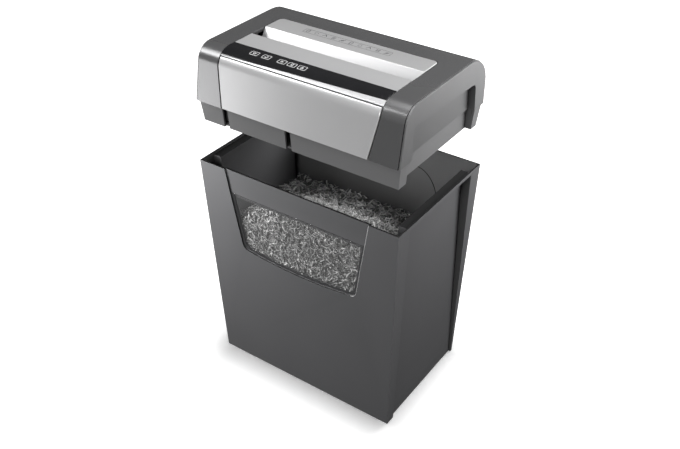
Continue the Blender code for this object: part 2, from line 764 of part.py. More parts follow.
def build_deck(materials, head):
    """Rear deck with the ramp that leads paper down into the slot."""
    slope = math.hypot(DECK_FRONT - RAMP_FOOT[0], HEAD_TOP - RAMP_FOOT[1])
    normal = ((HEAD_TOP - RAMP_FOOT[1]) / slope, -(DECK_FRONT - RAMP_FOOT[0]) / slope)
    outer = [RAMP_FOOT, (DECK_FRONT, HEAD_TOP), (DECK_REAR, HEAD_TOP)]
    inner = [
        (RAMP_FOOT[0] + normal[0] * SKIN, RAMP_FOOT[1] + normal[1] * SKIN),
        (DECK_FRONT + SKIN * 0.55, HEAD_TOP - SKIN),
        (DECK_REAR, HEAD_TOP - SKIN),
    ]
    deck = make_object("rear_deck", bent_plate(outer, inner, [PANEL_EDGE] * 3), materials["silver"])
    inner_x = PANEL_EDGE - DECK_CORNER
    outer_x = PANEL_EDGE + 0.005
    turn_y = DECK_REAR - DECK_CORNER
    beyond_y = DECK_REAR + 0.005
    for sign, side in ((-1, "left"), (1, "right")):
        edge_x = sign * PANEL_EDGE
        corner = rounded_corner((edge_x, turn_y), (edge_x, DECK_REAR), (sign * inner_x, DECK_REAR), 4)
        outside = [(sign * inner_x, beyond_y), (sign * outer_x, beyond_y), (sign * outer_x, turn_y)]
        cut(deck, f"deck_{side}_corner", prism_z(corner + outside, *THROUGH_TOP))
    attach(deck, head)


def build_panel_carrier(materials, head):
    """Inner frame that the silver panels and the control strip clip onto, with the slot through it."""
    top_offset = SKIN + GAP
    under_offset = top_offset + 0.0020
    outer = [front_foot(top_offset)] + nose_points(top_offset, nose_start(), math.pi / 2.0, 8)
    inner = [front_foot(under_offset)] + nose_points(under_offset, nose_start(), math.pi / 2.0, 8)
    rear = 0.0480
    outline = outer + [(rear, HEAD_TOP - top_offset), (rear, HEAD_TOP - under_offset)] + inner[::-1]
    half = 0.1380
    body = prism_x(raise_all(outline), -half, half)
    carrier = make_object("panel_carrier", body, materials["black_plastic"])
    slot_half = PANEL_EDGE + 0.0006
    slot_depth = (LIP_REAR - 0.0022, DECK_FRONT + 0.0060)
    cut(carrier, "carrier_slot", box((-slot_half, slot_half), slot_depth, THROUGH_TOP))
    for name, x in {**KEY_CENTRES, **LENS_CENTRES}.items():
        margin = -0.0030 if name in KEY_CENTRES else -0.0045
        cut(carrier, f"{name}_carrier_hole", key_hole(x, margin))
    attach(carrier, head)


# ---------------------------------------------------------------- skirt


def build_skirt(materials, head):
    top = LIFT - 0.0003
    skirt = make_object(
        "skirt", tapered_box(SKIRT_BASE, SKIRT_TOP, lifted(SKIRT_BOTTOM), lifted(top)), materials["skirt"]
    )
    floor = SKIRT_BOTTOM + 0.0025
    low = (SKIRT_BASE[0] - SKIRT_WALL, SKIRT_BASE[1] - SKIRT_WALL)
    high = (SKIRT_TOP[0] - SKIRT_WALL, SKIRT_TOP[1] - SKIRT_WALL)
    cut(skirt, "skirt_cavity", tapered_box(low, high, lifted(floor), lifted(top + 0.010)))
    for sign, side in ((-1, "left"), (1, "right")):
        front, rear = SKIRT_RECESS
        block = box(
            tuple(sorted((sign * (SKIRT_RECESS_FACE - SKIRT_WALL), sign * (SKIRT_BASE[0] - 0.0010)))),
            (front - SKIRT_WALL, rear + SKIRT_WALL),
            (lifted(SKIRT_BOTTOM + 0.0010), lifted(top - 0.0001)),
        )
        join(skirt, f"{side}_skirt_bulge", block)
        recess = box(
            tuple(sorted((sign * SKIRT_RECESS_FACE, sign * 0.18))),
            (front, rear),
            (lifted(SKIRT_BOTTOM - 0.010), lifted(top + 0.010)),
        )
        cut(skirt, f"{side}_skirt_recess", recess)
        for x, y in BOSS_PLACES:
            place = f"{side}_{'front' if y < 0 else 'rear'}"
            boss_top = lifted(top - 0.0002)
            boss = prism_z(circle((sign * x, y), BOSS_RADIUS, 12), lifted(floor - 0.001), boss_top)
            join(skirt, f"{place}_skirt_boss", boss)
            hole_ends = (lifted(SKIRT_BOTTOM - 0.010), lifted(top + 0.010))
            hole = prism_z(circle((sign * x, y), SCREW_HOLE_RADIUS, 12), *hole_ends)
            cut(skirt, f"{place}_skirt_hole", hole)
    for number, x in enumerate(SLOT_CENTRES):
        slot = box(
            (x - SLOT_WIDTH / 2.0, x + SLOT_WIDTH / 2.0),
            (-0.1200, -0.0965),
            (lifted(SKIRT_BOTTOM - 0.010), lifted(0.0935)),
        )
        cut(skirt, f"guide_slot_{number}", slot)
    mouth = box((-0.1200, 0.1020), (-0.0620, 0.0270), (lifted(SKIRT_BOTTOM - 0.010), lifted(floor + 0.005)))
    cut(skirt, "discharge_mouth", mouth)
    attach(skirt, head)


def build_housing_screws(materials, head):
    """Four screws up through the skirt into the side covers' bosses."""
    for sign, side in ((-1, "left"), (1, "right")):
        for x, y in BOSS_PLACES:
            rings = []
            for z, radius in SCREW_STEPS:
                rings.append([(px, py, lifted(z)) for px, py in circle((sign * x, y), radius, 12)])
            name = f"{side}_{'front' if y < 0 else 'rear'}_screw"
            attach(make_object(name, loft(rings), materials["zinc"]), head)


# ---------------------------------------------------------------- cutting block


def disc_centre(index):
    return FIRST_DISC + DISC_PITCH * index


def toothed_ring(x, centre, phase):
    """One edge of a cutting disc: points that step between the tooth tips and their heels."""
    points = []
    for i in range(DISC_SIDES):
        angle = phase + 2.0 * math.pi * i / DISC_SIDES
        radius = DISC_RADIUS if i % 2 == 0 else DISC_RADIUS - TOOTH_DEPTH
        points.append((x, centre[0] + radius * math.cos(angle), centre[1] + radius * math.sin(angle)))
    return points


def cutter_bmesh(centre, shift, right_end):
    """A spindle with its cutting discs and journals, as one turned and toothed body."""
    def ring(x, radius):
        return [(x, y, z) for y, z in circle(centre, radius, DISC_SIDES)]

    left_shoulder = LEFT_PLATE[1] + 0.0006
    right_shoulder = RIGHT_PLATE[0] - 0.0006
    rings = [ring(LEFT_PLATE[0] - 0.004, JOURNAL_RADIUS), ring(left_shoulder, JOURNAL_RADIUS)]
    rings.append(ring(left_shoulder, SPINDLE_RADIUS))
    for index in range(DISC_COUNT):
        middle = disc_centre(index) + shift
        low = middle - DISC_THICKNESS / 2.0
        high = middle + DISC_THICKNESS / 2.0
        phase = math.radians(60.0 / 5.0) * (index % 5)
        rings.append(ring(low, SPINDLE_RADIUS))
        rings.append(toothed_ring(low, centre, phase))
        rings.append(toothed_ring(high, centre, phase))
        rings.append(ring(high, SPINDLE_RADIUS))
    rings.append(ring(right_shoulder, SPINDLE_RADIUS))
    rings.append(ring(right_shoulder, JOURNAL_RADIUS))
    rings.append(ring(RIGHT_PLATE[1] + 0.0020, JOURNAL_RADIUS))
    rings.append(ring(RIGHT_PLATE[1] + 0.0020, SHAFT_END_RADIUS))
    rings.append(ring(right_end, SHAFT_END_RADIUS))
    return loft(rings)


def gear_outline(centre, module, teeth, phase):
    """A gear's outline in Y and Z, with straight-flanked teeth; one tooth points at the phase angle."""
    pitch_radius = module * teeth / 2.0
    tip = pitch_radius + 0.80 * module
    root = pitch_radius - 1.05 * module
    step = 2.0 * math.pi / teeth
    half_tip = 0.105 * step
    half_root = 0.290 * step
    points = []
    for i in range(teeth):
        angle = phase + step * i
        for turn, radius in ((-half_root, root), (-half_tip, tip), (half_tip, tip), (half_root, root)):
            points.append(
                (centre[0] + radius * math.cos(angle + turn), centre[1] + radius * math.sin(angle + turn))
            )
    return points


def meshing_phase(angle, own_teeth, other_teeth, other_phase):
    """The phase that puts this gear's tooth gap on the other gear's tooth along the line at angle."""
    other_step = 2.0 * math.pi / other_teeth
    own_step = 2.0 * math.pi / own_teeth
    ahead = ((angle - other_phase) / other_step) % 1.0
    return angle + math.pi + own_step * (ahead + 0.5)


def build_gears(materials, head, rear_cutter, front_cutter):
    z = lifted(CUTTER_HEIGHT)
    rear = (REAR_SHAFT_Y, z)
    front = (FRONT_SHAFT_Y, z)
    idler_gap = SYNC_MODULE * (MAIN_TEETH + SMALL_TEETH) / 2.0
    idler = (rear[0] + idler_gap * math.cos(IDLER_ANGLE), rear[1] + idler_gap * math.sin(IDLER_ANGLE))
    motor_gap = WHEEL_MODULE * (WHEEL_TEETH + PINION_TEETH) / 2.0
    motor = (idler[0] + motor_gap * math.cos(MOTOR_ANGLE), idler[1] + motor_gap * math.sin(MOTOR_ANGLE))

    bore = [(x, GEAR_BORE_RADIUS) for x in GEAR_BORE_X]
    rear_teeth = prism_x(gear_outline(rear, SYNC_MODULE, SYNC_TEETH, 0.0), *TIMING_X)
    rear_sync = make_object("rear_timing_gear", rear_teeth, materials["steel"])
    cut(rear_sync, "rear_timing_bore", turned_x(bore, rear, 16))
    attach(rear_sync, rear_cutter, (0.0, *rear))

    phase = meshing_phase(math.pi, SYNC_TEETH, SYNC_TEETH, 0.0)
    front_teeth = prism_x(gear_outline(front, SYNC_MODULE, SYNC_TEETH, phase), *TIMING_X)
    front_sync = make_object("front_timing_gear", front_teeth, materials["steel"])
    cut(front_sync, "front_timing_bore", turned_x(bore, front, 16))
    attach(front_sync, front_cutter, (0.0, *front))

    main_teeth = prism_x(gear_outline(rear, SYNC_MODULE, MAIN_TEETH, 0.0), *MAIN_X)
    main_gear = make_object("main_gear", main_teeth, materials["nylon"])
    cut(main_gear, "main_gear_bore", turned_x(bore, rear, 16))
    attach(main_gear, rear_cutter, (0.0, *rear))

    small_phase = meshing_phase(IDLER_ANGLE, SMALL_TEETH, MAIN_TEETH, 0.0)
    small = prism_x(gear_outline(idler, SYNC_MODULE, SMALL_TEETH, small_phase), *SMALL_X)
    reduction = make_object("reduction_gear", small, materials["nylon"])
    wheel = prism_x(gear_outline(idler, WHEEL_MODULE, WHEEL_TEETH, 0.0), *WHEEL_X)
    join(reduction, "reduction_wheel", wheel)
    axle = [(x, AXLE_RADIUS) for x in (RIGHT_PLATE[0] - 0.001, GEAR_PLATE[1] + 0.001)]
    join(reduction, "reduction_axle", turned_x(axle, idler, 16))
    attach(reduction, head, (0.0, *idler))

    pinion_phase = meshing_phase(MOTOR_ANGLE, PINION_TEETH, WHEEL_TEETH, 0.0)
    pinion = prism_x(gear_outline(motor, WHEEL_MODULE, PINION_TEETH, pinion_phase), *PINION_X)
    pinion = make_object("motor_pinion", pinion, materials["steel"])
    join(pinion, "motor_shaft", turned_x(((0.0960, 0.0030), (0.1365, 0.0030)), motor, 16))
    attach(pinion, head, (0.0, *motor))
    return idler, motor


def build_cutters(materials, head):
    z = lifted(CUTTER_HEIGHT)
    front = (FRONT_SHAFT_Y, z)
    rear = (REAR_SHAFT_Y, z)
    front_bm = cutter_bmesh(front, 0.0, TIMING_X[1] + 0.0010)
    front_cutter = make_object("front_cutter", front_bm, materials["steel"])
    attach(front_cutter, head, (0.0, *front))
    rear_bm = cutter_bmesh(rear, DISC_PITCH / 2.0, GEAR_PLATE[1] + 0.001)
    rear_cutter = make_object("rear_cutter", rear_bm, materials["steel"])
    attach(rear_cutter, head, (0.0, *rear))
    return front_cutter, rear_cutter


def build_combs(materials, head):
    """Stripper combs: a finger stands in each gap between a shaft's discs."""
    z = (lifted(0.0980), lifted(0.1080))
    ends = (LEFT_PLATE[1] + 0.0005, RIGHT_PLATE[0] - 0.0005)
    for name, bar, reach, shift in (
        ("front_comb", (-0.0640, -0.0590), (-0.0592, -0.0500), DISC_PITCH / 2.0),
        ("rear_comb", (0.0240, 0.0290), (0.0150, 0.0242), 0.0),
    ):
        comb = make_object(name, box(ends, bar, (lifted(0.0960), lifted(0.1100))), materials["black_plastic"])
        fingers = bmesh.new()
        for index in range(DISC_COUNT - 1):
            x = disc_centre(index) + shift + (0.0 if shift else DISC_PITCH)
            box((x - 0.0017, x + 0.0017), reach, z, fingers)
        join(comb, f"{name}_fingers", fingers)
        attach(comb, head)


def plate(name, outline, ends, holes, material, head):
    """A flat frame plate with round holes; holes are ((y, z), radius)."""
    obj = make_object(name, prism_x(raise_all(outline), *ends), material)
    for number, (centre, radius) in enumerate(holes):
        drill = turned_x(((ends[0] - 0.005, radius), (ends[1] + 0.005, radius)), centre, 16)
        cut(obj, f"{name}_hole_{number}", drill)
    attach(obj, head)
    return obj


def build_frames(materials, head, idler, motor):
    z = lifted(CUTTER_HEIGHT)
    shafts = ((FRONT_SHAFT_Y, z), (REAR_SHAFT_Y, z))
    bush_holes = [(centre, BUSH_RADIUS + CLEARANCE) for centre in shafts]
    rod_holes = [((y, lifted(height)), ROD_RADIUS + CLEARANCE) for y, height in ROD_PLACES]
    low, high = PLATE_BOTTOM, PLATE_TOP
    left = ((-0.0660, low), (0.0330, low), (0.0330, high), (-0.0660, high))
    plate("left_frame_plate", left, LEFT_PLATE, bush_holes + rod_holes, materials["zinc"], head)
    right = ((-0.0660, low), (0.0960, low), (0.0960, 0.1420), (0.0330, high), (-0.0660, high))
    motor_holes = [(motor, PINION_HOLE_RADIUS), (idler, AXLE_RADIUS + CLEARANCE)]
    for sign in (-1, 1):
        motor_holes.append(((motor[0], motor[1] + sign * MOTOR_SCREW_REACH), SCREW_HOLE_RADIUS))
    right_holes = bush_holes + rod_holes + motor_holes
    plate("right_frame_plate", right, RIGHT_PLATE, right_holes, materials["zinc"], head)
    outer = ((-0.0120, 0.0800), (0.0500, 0.0800), (0.0500, 0.1340), (-0.0120, 0.1340))
    outer_holes = [((REAR_SHAFT_Y, z), GEAR_BORE_RADIUS), (idler, AXLE_RADIUS + CLEARANCE)]
    plate("gear_plate", outer, GEAR_PLATE, outer_holes, materials["zinc"], head)

    for shaft, side_name in zip(shafts, ("front", "rear")):
        for ends, end_name in ((LEFT_PLATE, "left"), (RIGHT_PLATE, "right")):
            span = (ends[0] - 0.0004, ends[1] + 0.0004)
            bush = turned_x(tuple((x, BUSH_RADIUS) for x in span), shaft, 16)
            bush = make_object(f"{side_name}_{end_name}_bush", bush, materials["bronze"])
            bore = turned_x(((span[0] - 0.004, 0.0063), (span[1] + 0.004, 0.0063)), shaft, 16)
            cut(bush, f"{side_name}_{end_name}_bush_bore", bore)
            attach(bush, head)

    rod_names = ("front_lower_rod", "front_upper_rod", "rear_lower_rod", "rear_upper_rod")
    for name, (y, height) in zip(rod_names, ROD_PLACES):
        ends = ((LEFT_PLATE[0] - 0.0015, ROD_RADIUS), (RIGHT_PLATE[1] + 0.0015, ROD_RADIUS))
        attach(make_object(name, turned_x(ends, (y, lifted(height)), 12), materials["zinc"]), head)

    ends = ((RIGHT_PLATE[1] + CLEARANCE, 0.0035), (GEAR_PLATE[0] - CLEARANCE, 0.0035))
    spacer = turned_x(ends, (0.0440, lifted(0.0840)), 12)
    attach(make_object("gear_plate_spacer", spacer, materials["zinc"]), head)


def build_motor(materials, head, motor):
    start, end = MOTOR_ENDS
    steps = (
        (start, 0.0120),
        (start + 0.006, 0.0120),
        (start + 0.006, 0.0230),
        (start + 0.012, MOTOR_RADIUS),
        (end - 0.008, MOTOR_RADIUS),
        (end, 0.0240),
    )
    body = make_object("motor", turned_x(steps, motor, 24), materials["steel"])
    cut(body, "motor_bore", turned_x(((0.0930, 0.0034), (0.1100, 0.0034)), motor, 16))
    for number, sign in enumerate((-1, 1)):
        centre = (motor[0], motor[1] + sign * MOTOR_SCREW_REACH)
        thread = [(x, SCREW_HOLE_RADIUS) for x in (0.0950, 0.1100)]
        cut(body, f"motor_thread_{number}", turned_x(thread, centre, 12))
        head_x = RIGHT_PLATE[1] + CLEARANCE
        shank = [(0.0980, SCREW_RADIUS), (head_x, SCREW_RADIUS)]
        shank += [(x, SCREW_HEAD_RADIUS - 0.0002) for x in (head_x, head_x + 0.0018)]
        name = f"{'lower' if sign < 0 else 'upper'}_motor_screw"
        attach(make_object(name, turned_x(shank, centre, 12), materials["zinc"]), head)
    round_shading(body)
    attach(body, head)


def build_paper_guide(materials, head):
    """Funnel between the deck's ramp and the nip of the cutters."""
    ends = (-0.1190, 0.1015)
    front = ((-0.0296, 0.1280), (-0.0278, 0.1280), (-0.0278, 0.1650), (-0.0296, 0.1650))
    guide = make_object("paper_guide", prism_x(raise_all(front), *ends), materials["black_plastic"])
    rear = ((-0.0160, 0.1280), (-0.0142, 0.1280), (-0.0098, 0.1478), (-0.0116, 0.1478))
    join(guide, "guide_rear_wall", prism_x(raise_all(rear), *ends))
    for number, x in enumerate((ends[0], ends[1] - 0.0018)):
        cheek = box((x, x + 0.0018), (-0.0290, -0.0146), (lifted(0.1290), lifted(0.1470)))
        join(guide, f"guide_cheek_{number}", cheek)
    attach(guide, head)

    lamp = box((-0.0040, 0.0040), (-0.0380, -0.0300), (lifted(0.1400), lifted(0.1480)))
    attach(make_object("paper_sensor_lamp", lamp, materials["black_plastic"]), head)
    eye = box((-0.0040, 0.0040), (-0.0080, 0.0000), (lifted(0.1360), lifted(0.1440)))
    attach(make_object("paper_sensor_eye", eye, materials["black_plastic"]), head)


def build_electrics(materials, head):
    board_z = (lifted(BOARD_BOTTOM), lifted(BOARD_BOTTOM + 0.0016))
    board = make_object("control_board", box(BOARD_X, BOARD_Y, board_z), materials["board"])
    for number, x in enumerate(KEY_CENTRES.values()):
        switch = box((x - 0.0030, x + 0.0030), (-0.0778, -0.0718), (lifted(0.1570), lifted(0.1605)))
        join(board, f"key_switch_{number}", switch)
    for number, x in enumerate(LENS_CENTRES.values()):
        lamp = box((x - 0.0015, x + 0.0015), (-0.0765, -0.0735), (lifted(0.1570), lifted(0.1600)))
        join(board, f"lamp_{number}", lamp)
    relay = box((-0.0020, 0.0160), (-0.0680, -0.0540), (lifted(0.1440), lifted(0.1565)))
    join(board, "board_relay", relay)
    attach(board, head)

    x = SLOT_CENTRES[0]
    reed = box((x - 0.0060, x + 0.0060), (-0.0945, -0.0900), (lifted(0.0700), lifted(0.0880)))
    attach(make_object("interlock_sensor", reed, materials["black_plastic"]), head)


# ---------------------------------------------------------------- assembly


def clear_scene():
    for obj in list(bpy.data.objects):
        bpy.data.objects.remove(obj, do_unlink=True)


def main():
    clear_scene()
    materials = make_materials()
    head = bpy.data.objects.new("head_slide", None)
    head.location = (0.0, 0.0, BIN_HEIGHT)
    bpy.context.scene.collection.objects.link(head)

    build_bin(materials)
    build_casing(materials, head)
    build_vent_grille(materials, head)
    build_side_covers(materials, head)
    build_front_panel(materials, head)
    build_top_trim(materials, head)
    build_keys(materials, head)
    build_deck(materials, head)
    build_panel_carrier(materials, head)
    build_skirt(materials, head)
    build_housing_screws(materials, head)
    front_cutter, rear_cutter = build_cutters(materials, head)
    idler, motor = build_gears(materials, head, rear_cutter, front_cutter)
    build_combs(materials, head)
    build_frames(materials, head, idler, motor)
    build_motor(materials, head, motor)
    build_paper_guide(materials, head)
    build_electrics(materials, head)


main()
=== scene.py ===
import json
import math
import random

import bmesh
import bpy
from mathutils import Matrix, Vector
from mathutils.bvhtree import BVHTree

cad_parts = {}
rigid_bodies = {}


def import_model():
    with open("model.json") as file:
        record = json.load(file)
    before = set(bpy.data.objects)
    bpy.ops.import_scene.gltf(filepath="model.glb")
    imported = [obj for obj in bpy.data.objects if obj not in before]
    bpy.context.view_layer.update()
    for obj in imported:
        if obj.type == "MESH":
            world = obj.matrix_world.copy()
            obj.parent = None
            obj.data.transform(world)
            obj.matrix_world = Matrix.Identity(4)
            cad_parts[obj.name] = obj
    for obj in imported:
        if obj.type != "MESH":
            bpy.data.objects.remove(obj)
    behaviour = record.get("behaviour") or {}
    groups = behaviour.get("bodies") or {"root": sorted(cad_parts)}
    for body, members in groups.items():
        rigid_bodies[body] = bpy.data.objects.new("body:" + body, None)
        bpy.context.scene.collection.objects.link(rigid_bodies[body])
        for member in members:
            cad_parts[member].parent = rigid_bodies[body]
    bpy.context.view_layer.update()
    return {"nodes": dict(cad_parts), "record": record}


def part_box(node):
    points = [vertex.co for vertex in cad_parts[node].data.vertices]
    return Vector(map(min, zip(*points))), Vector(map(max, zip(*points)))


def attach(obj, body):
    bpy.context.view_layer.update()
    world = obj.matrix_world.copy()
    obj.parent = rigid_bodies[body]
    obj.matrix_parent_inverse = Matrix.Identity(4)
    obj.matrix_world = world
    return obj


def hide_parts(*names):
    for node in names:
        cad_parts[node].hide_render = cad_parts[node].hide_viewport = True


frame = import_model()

# Lengths are in metres, but the camera's lens and sensor in millimetres. The lights' powers are in watts.

RECORD = frame["record"]
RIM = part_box("bin_body")[1].z
HEAD_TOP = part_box("rear_deck")[1].z
DECK_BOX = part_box("rear_deck")
HEAP_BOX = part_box("paper_shreds")
JOINTS = {joint["name"]: joint for joint in RECORD["behaviour"]["joints"]}
HEAD_DROP = JOINTS["head_lift"]["range_m"][0]  # the seated head's height over its rest place, so negative
BODY_OF = {node: body for body, nodes in RECORD["behaviour"]["bodies"].items() for node in nodes}
SLOT_OF = {part["node"]: part["material_slot"] for part in RECORD["subparts"]}

# Camera
CAMERA_PLACE = (0.6303, -0.9013, 1.0151)
CAMERA_BACK = (0.4693, -0.6718, 0.5731)  # from what it looks at, towards the camera
CAMERA_LENS = 47.46
CAMERA_SENSOR = 36.0

# The head's rolled front edge
NOSE_RADIUS = 0.0265
NOSE_Y = -0.0730

# Faces that take another paint, by how far their normals point that way
DECK_LEVEL = 0.9
TRIM_LEVEL = 0.97
LEDGE_LEVEL = 0.2
LEDGE_DEPTH = 0.030  # the ledges lie no further than this below the rim
BACK_LEVEL = 0.9
BACK_START = 0.080  # the back wall's inside is beyond this Y

# Joints round the head's front panel
PANEL_END = 0.1  # points beyond this X belong to the panel's ends
PANEL_GAP = 0.0010  # taken off each end
SEAM_TURN = math.radians(1.1)  # taken off its upper edge, as an angle over the nose

# The bin, and the panel pressed into its front
BIN_DEPTHS = (0.0987, 0.1095)  # half depth on the floor and at the rim
BIN_WALL = 0.0026
PANEL_HALF_TOP = 0.1219
PANEL_HALF_BASE = 0.0999
PANEL_HEIGHT = 0.1320
PANEL_SAG = 0.0080
PANEL_CORNER = 0.0080
PANEL_DEPTH = 0.0023
SIDE_STEPS = 12
CORNER_STEPS = 6
FOOT_STEPS = 10

# The window's opaque border, and the lines round it
WINDOW_DROP = 0.0400  # top of the window below the rim
BORDER_INSETS = (0.0018, 0.0050)
BORDER_SINKS = (PANEL_DEPTH - 0.0005, PANEL_DEPTH - 0.0001)
BORDER_EDGE = 0.0001
PANEL_LINE_RADIUS = 0.00045
PANEL_LINE_INSET = 0.0002
PANEL_LINE_DROP = 0.0010
LEFT_LINE_SHARE = 0.8
TOP_LINE_RADIUS = 0.0003
TOP_LINE_SINK = PANEL_DEPTH - 0.0002
TOP_LINE_XS = (-0.1135, -0.05, 0.0, 0.05, 0.1135)

# The moulding line inside the bin's back wall
LINE_START = 0.0200  # X of its inner end, under the raised head
LINE_SIDE = 0.1050  # X of its upright stretch
LINE_DROPS = (0.0366, 0.1150)  # its level stretch and its lower end, below the rim
LINE_CORNER = (0.0390, 0.0550)  # width and height of the rounded corner between them
LINE_CORNER_STEPS = 12
LINE_RADIUS = 0.0006

# Printed marks
PRINT_LIFT = 0.00005  # half its thickness; its middle lies on the surface
PRINT_STEP = 0.0006
KEY_FRAME_HALF = (1.22, 0.86)  # these four are shares of half a key's depth
KEY_FRAME_CORNER = 0.3
KEY_FRAME_LINE = 0.13
KEY_SIGN_SHARE = 0.72
DECK_ROW_X = -0.0050
DECK_ROW_SHARE = 0.70  # of the way from the deck's front to its back
DECK_ROW_HALF = (0.0700, 0.0056)  # half its width and half its depth
DECK_ROW_CORNER = 0.0012
DECK_ROW_MARGIN = 0.0062
DECK_SIGN_COUNT = 10
DECK_SIGN_SIZE = 0.0034
FINE_LINE = 0.0005
THIN_LINE = 0.0006
BOLD_LINE = 0.0008
HEAVY_LINE = 0.0009

# Cut paper
PAPER_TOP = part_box("skirt")[0].z + HEAD_DROP - 0.0004  # the seated head's skirt is just above it
# Paper in painted shade and in painted light; each strip's shade value blends between them
PAPER_DARK = (0.03, 0.03, 0.03)
PAPER_LIGHT = (0.47, 0.47, 0.465)
PAPER_FIBRE = (0.31, 0.31, 0.305)
STRIP_SEED = 7
STRIP_COUNT = 4200
STRIP_SEGMENTS = 5
STRIP_THICKNESS = 0.00022
STRIP_ARCH = 0.11  # these three grow with a strip's curl
STRIP_TWIST = 0.6
STRIP_SHORTENING = 0.06

# Strips on top of the heap
TOP_MARGIN = 0.004
TOP_LIFT = 0.0005
TOP_LAYER = 0.0065
TOP_LIMIT = RIM - 0.0365
TOP_TILTS = (0.35, 0.45)  # typical pitch and roll
# The deeper strips take more painted shade
TOP_SHADE = (0.12, 0.55, 0.22)  # the deepest strips' shade, the gain of the upper ones, and the scatter
TOP_LENGTHS = (0.007, 0.013)
TOP_WIDTHS = (0.0014, 0.0023)
TOP_CURL = 1.4

# Strips against the window
WINDOW_SHARE = 0.55  # tries for each strip on top
WINDOW_HALF = 0.118
WINDOW_HEIGHTS = (RIM - 0.145, RIM - 0.034)
WINDOW_INSIDE = 0.002
WINDOW_BELOW_TOP = 0.001
WINDOW_YAW = 0.22
WINDOW_LEAN = 0.25
WINDOW_LAYER = (0.0001, 0.0012)  # how far ahead of the heap the layer starts, and how deep it is
# Strips nearer the pane take painted light, those further in painted shade
WINDOW_SHADE = (0.02, 0.55, 0.24)
WINDOW_LENGTHS = (0.006, 0.011)
WINDOW_WIDTHS = (0.0013, 0.0021)
WINDOW_CURL = 0.8

# The heap's settled core
# The core's dark is painted shade
CORE_SHADE = 0.12
CORE_SINK = 0.0010
CORE_FLOOR = 0.0005

# Mesh clean-up
WELD = 0.000004
FLAT_ANGLE = math.radians(0.6)
ANY_SHAPE = math.radians(180.0)
BEVEL_ANGLE = math.radians(30.0)  # sharper corners than this are rounded
BEVEL_SEGMENTS = 2

# Floor and room
FLOOR_RADIUS = 9.0
FLOOR_SIDES = 64
FLOOR_SINK = 0.0002
# The floor's painted contact shadow lies over this patch under the bin
FOOT_SHARE = 0.80  # the shaded patch under the bin, as a share of the rim's half sizes
GLOW_REACH = 0.070
GLOW_RANGE = (0.02, 1.0)
ROOM_GREY = 0.5
ROOM_STRENGTH = 0.08


# ---------------------------------------------------------------- materials


FULL_RANGE = (0.0, 1.0)
NOISE_RANGE = (0.3, 0.7)  # nearly all of a noise texture's values
FLAKE_RANGE = (0.60, 0.72)
EDGE_RANGE = (0.52, 0.60)  # pointiness of a rounded edge
EVEN = (1.0, 1.0, 1.0)
WHITE = (1.0, 1.0, 1.0, 1.0)


def brightened(colour, factor):
    return tuple(min(c * factor, 1.0) for c in colour)


